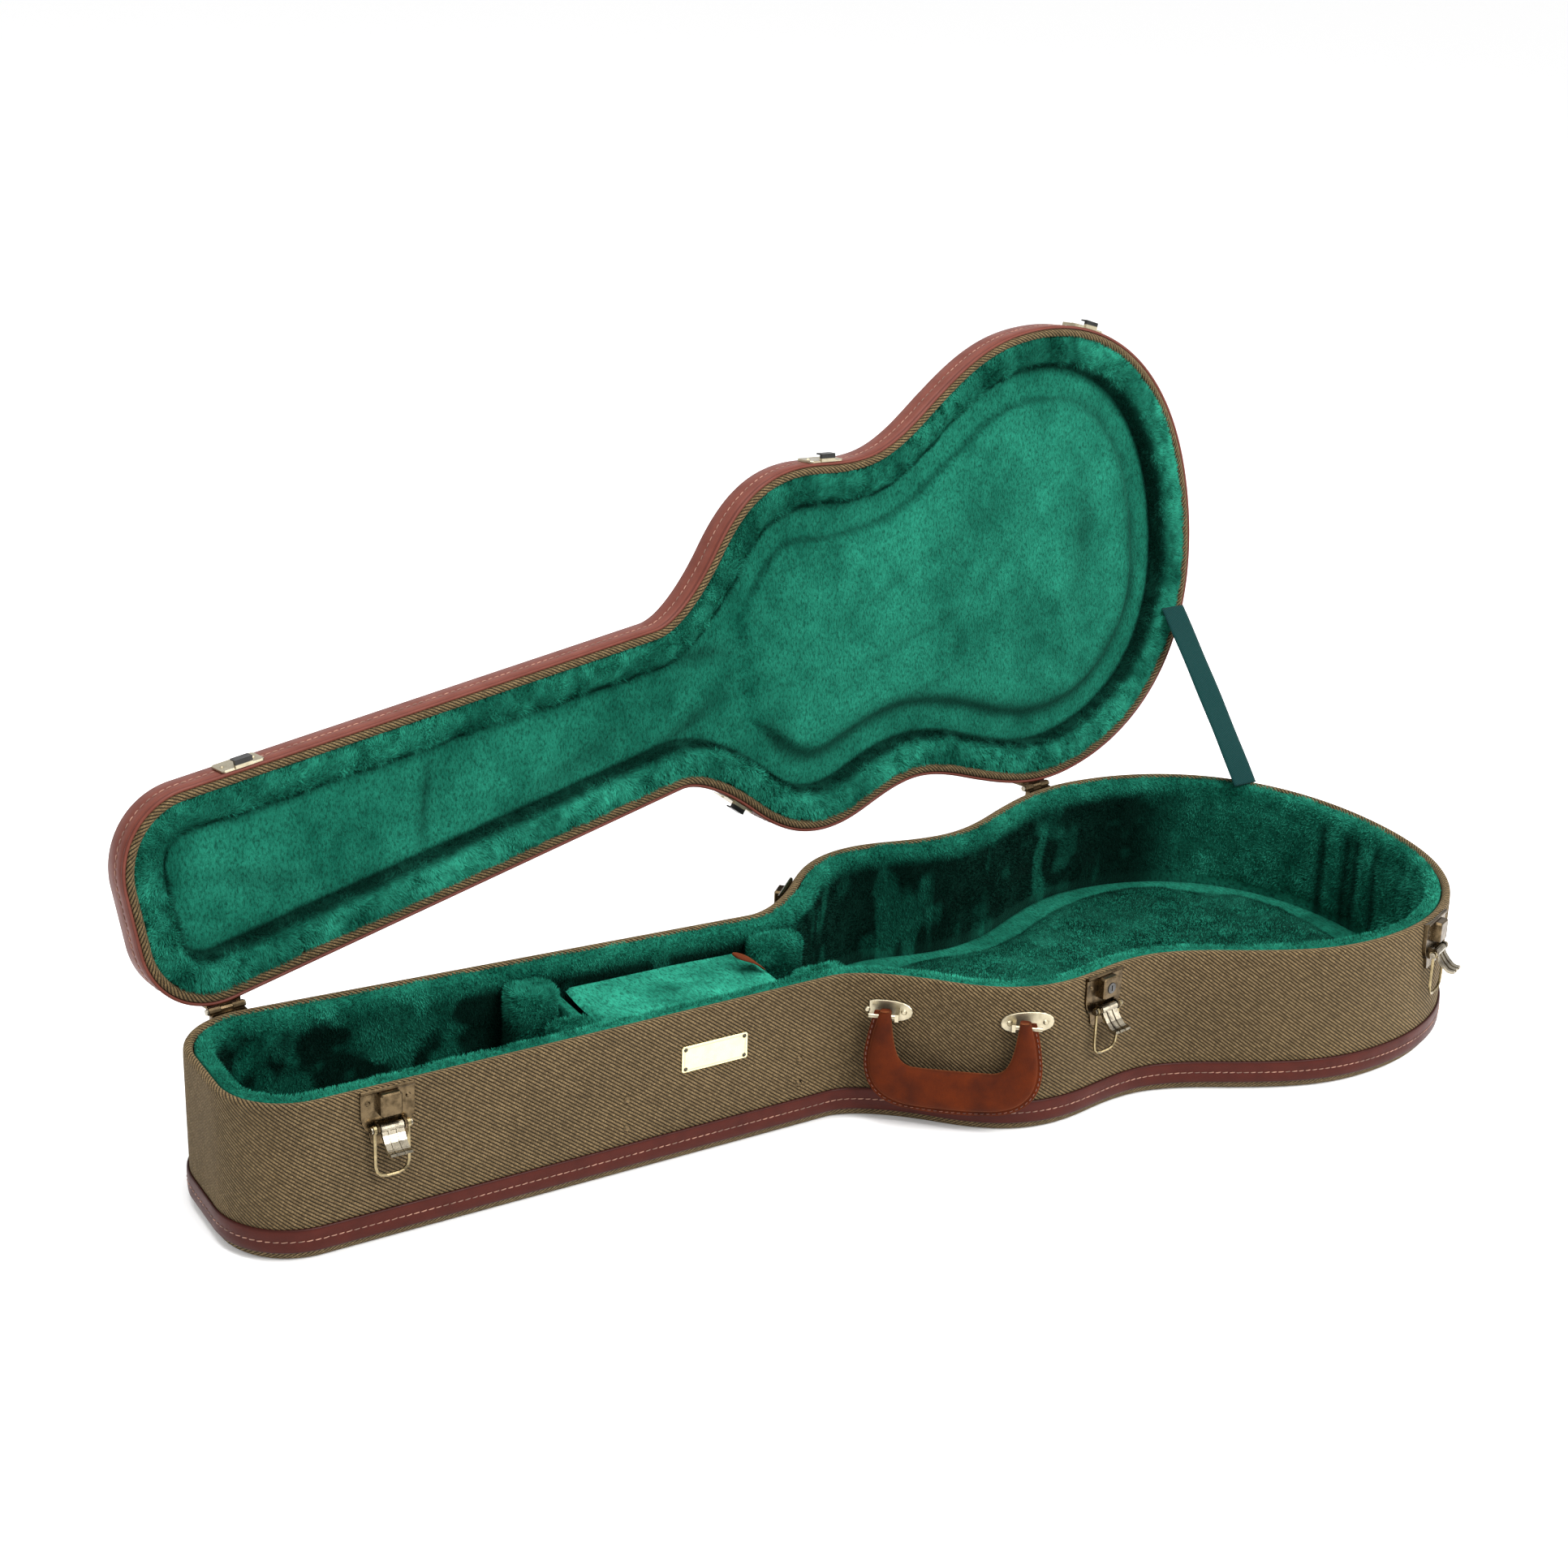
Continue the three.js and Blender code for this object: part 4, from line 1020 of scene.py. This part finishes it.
def floor_field():
    columns, rows = 360, 90
    plan = across_grid(PAD_INNER + 0.4, columns, rows)
    away = wall_distance(plan)
    flat = level(plan)
    gentle = noise3(flat, 60, 51) * 0.6
    top = FLOOR_TOP - 1.2 + gentle * smooth((away - PAD_INNER) / 8)
    return closed_slab("base_floor_lining", plan, columns, rows, top,
                       np.full(len(plan), 10.2), PLUSH_SHORT)


finish_piece(floor_field(), "base", ["base_floor_padding"])


# ---- cushions, blown up as cloth

def cushion_start(node, name, shrink, voxel):
    """Voxel-meshed copy of a CAD cushion, slightly smaller, ready to swell."""
    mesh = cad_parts[node].data.copy()
    low, high = (np.array(v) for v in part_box(node))
    centre = (low + high) / 2
    size = high - low
    scale = (size - 2 * shrink * MM) / size
    co = (vertices_of(mesh) - centre) * scale + centre
    mesh.vertices.foreach_set("co", co.ravel())
    mesh.materials.clear()
    mesh.materials.append(PLUSH)
    obj = add_object(name, mesh)
    remesh = obj.modifiers.new("remesh", "REMESH")
    remesh.mode = "VOXEL"
    remesh.voxel_size = voxel * MM
    bake_modifiers(obj)
    return obj


def bake_modifiers(obj):
    graph = bpy.context.evaluated_depsgraph_get()
    mesh = bpy.data.meshes.new_from_object(obj.evaluated_get(graph), depsgraph=graph)
    obj.modifiers.clear()
    obj.data = mesh


def vertices_of(mesh):
    co = np.empty(len(mesh.vertices) * 3)
    mesh.vertices.foreach_get("co", co)
    return co.reshape(-1, 3)


CLOTH_PRESSURE = 4
CLOTH_FRAMES = 20


def swell(cushions, caps, floor):
    """Blows the cushions up as cloth, limits how far each point moves, rests them flat."""
    starts = [vertices_of(obj.data) for obj in cushions]
    scene = bpy.context.scene
    for obj in cushions:
        cloth = obj.modifiers.new("cloth", "CLOTH")
        settings = cloth.settings
        settings.use_pressure = True
        settings.uniform_pressure_force = CLOTH_PRESSURE
        settings.effector_weights.gravity = 0
        settings.quality = 4
        cloth.point_cache.frame_start = 1
        cloth.point_cache.frame_end = CLOTH_FRAMES
    for number in range(1, CLOTH_FRAMES + 1):
        scene.frame_set(number)
    for obj in cushions:
        bake_modifiers(obj)
    scene.frame_set(1)
    for obj, start, cap in zip(cushions, starts, caps):
        shift = vertices_of(obj.data) - start
        length = np.linalg.norm(shift, axis=1)
        shift *= np.minimum(1, cap * MM / np.maximum(length, 1e-9))[:, None]
        co = start + shift
        co[:, 2] = np.maximum(co[:, 2], floor * MM)
        obj.data.vertices.foreach_set("co", co.ravel())
        obj.data.update()
        obj.data.shade_smooth()
        fine = obj.modifiers.new("subdivision", "SUBSURF")
        fine.levels = 1
        fine.render_levels = 1
        bake_modifiers(obj)


# node: how much smaller it starts, voxel size, and how far a point may move, all in mm
CUSHIONS = {
    "head_cradle_back": (2.0, 3.0, 5.0),
    "head_cradle_front": (2.0, 3.0, 5.0),
    "heel_cradle_back": (2.0, 3.0, 4.0),
    "heel_cradle_front": (2.0, 3.0, 4.0),
    "base_body_pad": (2.5, 5.0, 5.0),
}
cushions = [
    cushion_start(node, node + "_cushion", shrink, voxel)
    for node, (shrink, voxel, _) in CUSHIONS.items()
]
swell(cushions, [cap for _, _, cap in CUSHIONS.values()], FLOOR_TOP + 0.2)
for obj, node in zip(cushions, CUSHIONS):
    finish_piece(obj, "base", [node])


# ---- accessory box

def soft_board(name, x0, x1, y0, y1, z0, z1, round_by, material, seed, dip):
    """Padded board with pillowed faces: a grid folded over both sides."""
    columns, rows = 60, 44
    u, v = unit_grid(columns, rows, -1)
    width, depth = (x1 - x0) / 2, (y1 - y0) / 2
    corner = 1 - 0.04 * (u * v) ** 2
    plan = np.column_stack([(x0 + x1) / 2 + u * width * corner, (y0 + y1) / 2 + v * depth * corner])
    near = np.minimum((1 - np.abs(u)) * width, (1 - np.abs(v)) * depth)
    full = np.sqrt(1 - (1 - np.clip(near / round_by, 0, 1)) ** 2)
    middle, half = (z0 + z1) / 2, (z1 - z0) / 2
    wave = noise3(level(plan), 30, seed) * dip
    return closed_slab(name, plan, columns, rows, middle + (half + wave) * full,
                       middle - half * full, material)


lid_x0, lid_x1, lid_half, lid_z0, lid_z1 = BOX_LID
box_lid = soft_board("accessory_lid", lid_x0, lid_x1, -lid_half, lid_half, lid_z0, lid_z1,
                     3.0, PLUSH_NAPPED, 61, 0.5)
finish_piece(box_lid, "accessory_box_lid", ["box_lid"])


def upright_board(node, name):
    """Plush-covered partition: rounded on its top edge, slightly pillowed faces."""
    low, high = box_of(node)
    rows, columns = 40, 50
    y = np.linspace(low[1], high[1], columns)
    middle, half = (low[0] + high[0]) / 2, (high[0] - low[0]) / 2
    side = []
    for t in np.linspace(0, 1, rows):
        turn = math.pi * t
        side.append((middle + half * np.sign(math.cos(turn)) * abs(math.cos(turn)) ** 0.3,
                     low[2] + (high[2] - low[2]) * math.sin(turn) ** 0.3))
    side = np.array(side)
    points = np.array([(x, yy, z) for yy in y for x, z in side])
    bulge = noise3(points, 26, 71) * 0.6
    points[:, 0] += bulge * np.sign(points[:, 0] - middle)
    quads = sheet_faces(columns, rows)
    base = [(c * rows, c * rows + rows - 1, (c + 1) * rows + rows - 1, (c + 1) * rows)
            for c in range(columns - 1)]
    faces = np.concatenate([quads, np.array(base), end_caps(columns, rows, 0)])
    obj = new_object(name, points, [outward(points, faces)], PLUSH)
    return finish_piece(obj, "base", [node])


upright_board("box_head_partition", "head_partition_plush")
upright_board("box_heel_partition", "heel_partition_plush")


def pull_tab():
    """Thin leather tab, folded up from the free edge of the box lid."""
    columns, rows = 26, 18
    low, high = box_of("box_lid_tab")
    u, v = unit_grid(columns, rows)
    run = high[0] - low[0]
    rise = high[2] - low[2]
    tilt = np.array([-run, 0, rise]) / math.hypot(run, rise)
    start = np.array([high[0] - 1, (low[1] + high[1]) / 2, low[2] + 0.5])
    reach = math.hypot(run, rise) - 2
    half = (high[1] - low[1]) / 2 - 0.5
    wide = half * np.where(u < 0.7, 1.0, np.sqrt(np.clip(1 - ((u - 0.7) / 0.34) ** 2, 0, 1)))
    curl = 1.6 * np.sin(math.pi * u)
    mid = start + u[:, None] * reach * tilt + np.stack([curl, v * wide, curl * 0.6], 1)
    normal = np.cross(tilt, (0, 1, 0))
    thick = 0.75 * np.sqrt(np.clip(1 - np.abs(v) ** 6, 0.05, 1))
    points = np.concatenate([mid + normal * thick[:, None], mid - normal * thick[:, None]])
    faces = outward(points, two_sided_faces(columns, rows))
    obj = new_object("pull_tab", points, [faces], SUEDE_LEATHER)
    return finish_piece(obj, "accessory_box_lid", ["box_lid_tab"])


pull_tab()


# ---- pile over the plush

def flow_from_wall(points, place, strength):
    """Direction away from the nearest wall, for pile that lies across a ring."""
    flat = moved(points, place.inverted())[:, :2]
    out = np.empty((len(flat), 2))
    for k in range(0, len(flat), 4000):
        part = flat[k:k + 4000, None, :] - PLAN[None, ::4]
        near = (part ** 2).sum(2).argmin(1)
        out[k:k + 4000] = NORMAL[::4][near]
    return level(out) @ np.array(place)[:3, :3].T * strength


def region_faces(section, test):
    """Faces of a swept section whose middle passes the test on (inward, z)."""
    inward, z = ((section + np.roll(section, -1, 0)) / 2).T
    faces, _, row = loop_faces(COUNT, len(section))
    return faces[np.isin(row[:, 0], np.nonzero(test(inward, z))[0])]


def grow(name, points, faces, amount, length, width, rise, lean, place, body, seed, facing,
         tone, clump=14.0):
    """Pile over some faces, on the side that facing points to, shaded by tone."""
    spots, normals = sample_faces(points, faces, amount, seed)
    normals *= np.sign((normals * facing(spots)).sum(1))[:, None]
    flow = flow_from_wall(spots, place, lean)
    obj = pile(name, spots, normals, flow, length, width, rise, seed, clump, tone(spots))
    return finish_piece(obj, body)


def open_side(place, z):
    """Rough way out of the plush: along z in the closed case, and a little to the middle."""
    way = np.array(place.to_3x3() @ Vector((0, 0, z)))
    return lambda spots: way - flow_from_wall(spots, place, 0.7)


# Painted shade on the ring's pile towards its inner edge, under the overhang.
def ring_shade(spots):
    away = wall_distance(moved(spots, LID_OPEN.inverted())[:, :2])
    return 0.85 * smooth((away - 27) / 5)


ring_faces = region_faces(ring_section, lambda inward, z: (z < 140) & (inward > 8))
grow("lid_ring_pile", ring_points, ring_faces, 170000, 5.0, 0.7, 0.42, 0.55, LID_OPEN, "lid",
     101, open_side(LID_OPEN, -1), ring_shade, 9.0)
lining_faces = region_faces(lining_section, lambda inward, z: (z > 30) & (inward > 9.6))
grow("base_lining_pile", lining_points, lining_faces, 190000, 3.0, 0.75, 0.6, -0.12, FLAT,
     "base", 102, open_side(FLAT, 1), wall_shade)


# Painted shade down the sides of the cradle cushions, whose tops stay lit.
def mound_shade(spots):
    return 0.93 * smooth((107 - spots[:, 2]) / 26)


# Painted shade over the top of the body pad, which faces the overhead light, leaving a light band
# along its edge; the noise makes it patchy.
def pad_shade(spots):
    away = wall_distance(spots[:, :2])
    return 0.8 * smooth((away - 47) / 5) + 0.2 * noise3(spots, 40, 19)


def cushion_pile(obj, amount, length, seed, tone):
    points = vertices_of(obj.data) / MM
    faces = np.array([p.vertices[:] for p in obj.data.polygons if len(p.vertices) == 4])
    centre = (points.min(0) + points.max(0)) / 2
    faces = faces[points[faces].mean(1)[:, 2] > FLOOR_TOP + 3]
    grow(obj.name + "_pile", points, faces, amount, length, 0.7, 0.6, 0.15, FLAT, "base", seed,
         lambda spots: (spots - centre) * (1, 1, 2.5), tone, 12.0)


for number, (obj, node) in enumerate(zip(cushions, CUSHIONS)):
    if node == "base_body_pad":
        cushion_pile(obj, 90000, 2.6, 120 + number, pad_shade)
    else:
        cushion_pile(obj, 16000, 3.8, 120 + number, mound_shade)


# ---- handle

def quad_curve(a, control, b, steps):
    t = np.linspace(0, 1, steps, endpoint=False)[:, None]
    a, c, b = (np.array(p, float) for p in (a, control, b))
    return (1 - t) ** 2 * a + 2 * t * (1 - t) * c + t * t * b


def mirrored(curve):
    return np.concatenate([curve, curve[::-1] * (-1, 1)])


def handle_place():
    nx, ny = HANDLE_NORMAL
    basis = Matrix(((-ny, 0, nx, HANDLE_MIDDLE[0]), (nx, 0, ny, HANDLE_MIDDLE[1]),
                    (0, 1, 0, 0), (0, 0, 0, 1)))
    return basis @ Matrix.Translation((0, HANDLE_Z, 0)) @ Matrix.Rotation(HANDLE_TILT, 4, "X")


def handle_grip():
    half = HANDLE_SPAN / 2
    outer = mirrored(np.concatenate([
        quad_curve((-half - 7.5, 4.5), (-half - 12.5, -14), (-half - 14, -30), 24),
        quad_curve((-half - 14, -30), (-half - 16, -66), (-half + 18, -72), 40),
        quad_curve((-half + 18, -72), (-half + 36, -74), (0, -74), 30),
    ]))
    inner = mirrored(np.concatenate([
        quad_curve((-half + 5, 4.5), (-half + 7, -22), (-half + 12, -32), 24),
        quad_curve((-half + 12, -32), (-half + 16, -39), (-half + 24, -39.4), 24),
        quad_curve((-half + 24, -39.4), (-half + 36, -39.8), (0, -39.8), 20),
    ]))
    columns = 150
    outer, inner = even_points(outer, columns), even_points(inner, columns)
    flange, lip = 4.2, 1.25
    points = []
    spine = []
    for k in range(columns):
        width = np.linalg.norm(outer[k] - inner[k])
        body = (width - flange) / width
        stations = np.concatenate([
            body * (1 - np.cos(np.linspace(0, math.pi, 15))) / 2,
            body + (1 - body) * np.array([0.25, 0.7, 0.95, 1.0]),
        ])
        fat = np.concatenate([
            lip + (6.4 - lip) * np.sin(np.linspace(0, math.pi, 15)) ** 0.62,
            [lip * 0.9, lip, lip * 0.8, 0.15],
        ])
        fat[0] = 0.15
        fade = min(1.0, 0.72 + min(k, columns - 1 - k) / 26)
        line = inner[k] + (outer[k] - inner[k]) * stations[:, None]
        top = np.column_stack([line, fat * fade])
        bottom = np.column_stack([line, -fat * fade])[-2:0:-1]
        points.append(np.concatenate([top, bottom]))
        spine.append(inner[k] + (outer[k] - inner[k]) * (1 - 1.9 / width))
    rows = len(points[0])
    points = np.concatenate(points)
    wrinkle = noise3(points * (1, 1, 0.4), 12, 81) * 0.35 + noise3(points, 4.5, 82) * 0.12
    points[:, 2] += wrinkle * np.sign(points[:, 2]) * (np.abs(points[:, 2]) > 1.5)
    faces = loop_faces(columns, rows)[0][:-rows]
    faces = np.concatenate([faces, end_caps(columns, rows, 1)[:, ::-1]])
    place = handle_place()
    placed = moved(points, place)
    grip = new_object("grip_suede", placed, [outward(placed, faces)], SUEDE_LEATHER)
    finish_piece(grip, "handle", ["handle_grip"])
    seam = even_points(np.array(spine), 58)[2:-2]
    along = unit(np.gradient(seam, axis=0))
    turn = np.array(place)[:3, :3]
    for side in (1, -1):
        spots = np.column_stack([seam, np.full(len(seam), side * (lip + 0.05))])
        out = np.tile([0, 0, side], (len(seam), 1)).astype(float)
        row = stitches("grip_stitches_" + ("front" if side > 0 else "back"),
                       moved(spots, place), level(along) @ turn.T, out @ turn.T, 2.7, 0.36,
                       STITCH_RUST, 0.12)
        finish_piece(row, "handle")


handle_grip()


# ---- strap

def stay_strap():
    start = np.array(STRAP_BASE)
    end = np.array(LID_OPEN @ STRAP_CLOSED)
    run = end - start
    length = np.linalg.norm(run)
    up = run / length
    side = np.array((1.0, 0, 0)) - up * up[0]
    side /= np.linalg.norm(side)
    face = np.cross(side, up)
    columns, rows = 90, 12
    u, v = unit_grid(columns, rows)
    sag = 1.3 * np.sin(math.pi * u) + 0.25 * np.sin(5 * math.pi * u) * v
    middle = start + u[:, None] * run + v[:, None] * side * STRAP_WIDTH / 2 + sag[:, None] * face
    thick = 0.65 * np.clip(1.25 - np.abs(v) ** 8, 0.3, 1)[:, None] * face
    points = np.concatenate([middle + thick, middle - thick])
    flat = np.stack([v * STRAP_WIDTH / 2, u * length], 1) * MM
    flat = np.concatenate([flat, flat])
    faces = outward(points, two_sided_faces(columns, rows))
    strap = new_object("stay_strap_webbing", points, [faces], WEBBING, flat[faces.ravel()])
    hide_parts("stay_strap")
    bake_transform(strap)


stay_strap()


# ---- finishes of the metal parts

def assign(node, material):
    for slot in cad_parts[node].material_slots:
        slot.material = material


for latch in CATCH_X:
    assign("latch_plate_" + latch, BRONZE)
    assign("latch_pin_" + latch, NICKEL)
    assign("latch_lever_" + latch, NICKEL)
    assign("latch_bail_" + latch, BRASS_WIRE)
assign("lock_cylinder", GUNMETAL)
for side in ("left", "right"):
    assign("handle_bracket_" + side, SATIN)
for end in ("head", "tail"):
    assign("hinge_base_leaf_" + end, BRONZE)
    assign("hinge_lid_leaf_" + end, BRONZE)
    assign("hinge_pin_" + end, NICKEL)
for rivet in ("head_top", "head_low", "heel_top", "heel_low"):
    assign("partition_rivet_" + rivet, BRONZE)


def catch_material(latch):
    """Champagne plate with a dark hook, split by how far a point stands off the lid."""
    mat = metal("catch_" + latch, CHAMPAGNE, CHAMPAGNE_DARK, 0.3, 0.4)
    x, side = CATCH_X[latch]
    k = int(np.argmin(np.abs(HALF[:, 0] - (x - MID_X))))
    point = PLAN[k] if side < 0 else HALF[k]
    normal = NORMAL[k] if side < 0 else NORMAL[k] * (1, -1)
    out = LID_OPEN.to_3x3() @ Vector((normal[0], normal[1], 0))
    origin = LID_OPEN @ Vector((point[0], point[1], 134))
    away = mat.node("ShaderNodeVectorMath", mat.coords("Object"), tuple(out),
                    operation="DOT_PRODUCT").output("Value")
    dark = (away - (origin @ out) * MM).spread(0.0055, 0.0060)
    mat.paint(mat.mix(dark, mat.colour, (0.035, 0.034, 0.033, 1)))
    return mat.made


for latch in CATCH_X:
    assign("lid_catch_" + latch, catch_material(latch))


def plate_material():
    """Polished pale brass with a thin border and dark corner rivets."""
    mat = metal("nameplate_brass", (0.78, 0.70, 0.40, 1), (0.60, 0.52, 0.26, 1), 0.26, 0.3)
    low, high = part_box("nameplate")
    middle = (low + high) / 2
    x, _, z = mat.split(mat.coords("Object"))
    across = (x - middle.x).calc("ABSOLUTE")
    up = (z - middle.z).calc("ABSOLUTE")
    dx = across - 0.025
    dz = up - 0.0078
    rivets = (dx * dx + dz * dz).calc("SQRT").spread(0.0019, 0.0015)
    line = ((across - 0.0172).calc("MAXIMUM", up) - 0.0086).calc("ABSOLUTE")
    border = line.spread(0.0005, 0.0002) * 0.5
    tone = mat.mix(border, mat.colour, (0.35, 0.28, 0.12, 1))
    mat.paint(mat.mix(rivets, tone, (0.05, 0.045, 0.035, 1)))
    return mat.made


assign("nameplate", plate_material())


# ---- floor and light

def add_floor():
    mat = Material("studio_floor", Roughness=0.9, Base_Color=(0.88, 0.88, 0.88, 1),
                   Emission_Color=(1, 1, 1, 1), Emission_Strength=0.14)
    size = 30.0
    mesh = bpy.data.meshes.new("studio_floor")
    mesh.from_pydata([(-size, -size, 0), (size, -size, 0), (size, size, 0), (-size, size, 0)],
                     [], [(0, 1, 2, 3)])
    mesh.materials.append(mat.made)
    floor = add_object("studio_floor", mesh)


def add_light(name, place, aim, size, power):
    data = bpy.data.lights.new(name, "AREA")
    data.shape = "RECTANGLE"
    data.size, data.size_y = size
    data.energy = power
    light = add_object(name, data)
    light.location = place
    light.rotation_euler = (Vector(aim) - Vector(place)).to_track_quat("-Z", "Y").to_euler()


add_floor()
add_light("key", (0.7, -2.5, 2.4), (0, 0.05, 0.15), (1.5, 1.2), 118)
add_light("overhead", (-0.3, 0.0, 3.0), (0, 0.05, 0.1), (2.6, 1.8), 95)
add_light("fill", (2.6, -1.6, 1.4), (0.1, 0, 0.1), (1.8, 1.4), 26)
world = bpy.data.worlds.new("studio")
bpy.context.scene.world = world
world.use_nodes = True
world.node_tree.nodes["Background"].inputs[0].default_value = (1, 1, 1, 1)
world.node_tree.nodes["Background"].inputs[1].default_value = 0.95
bpy.context.scene.view_settings.view_transform = "Standard"
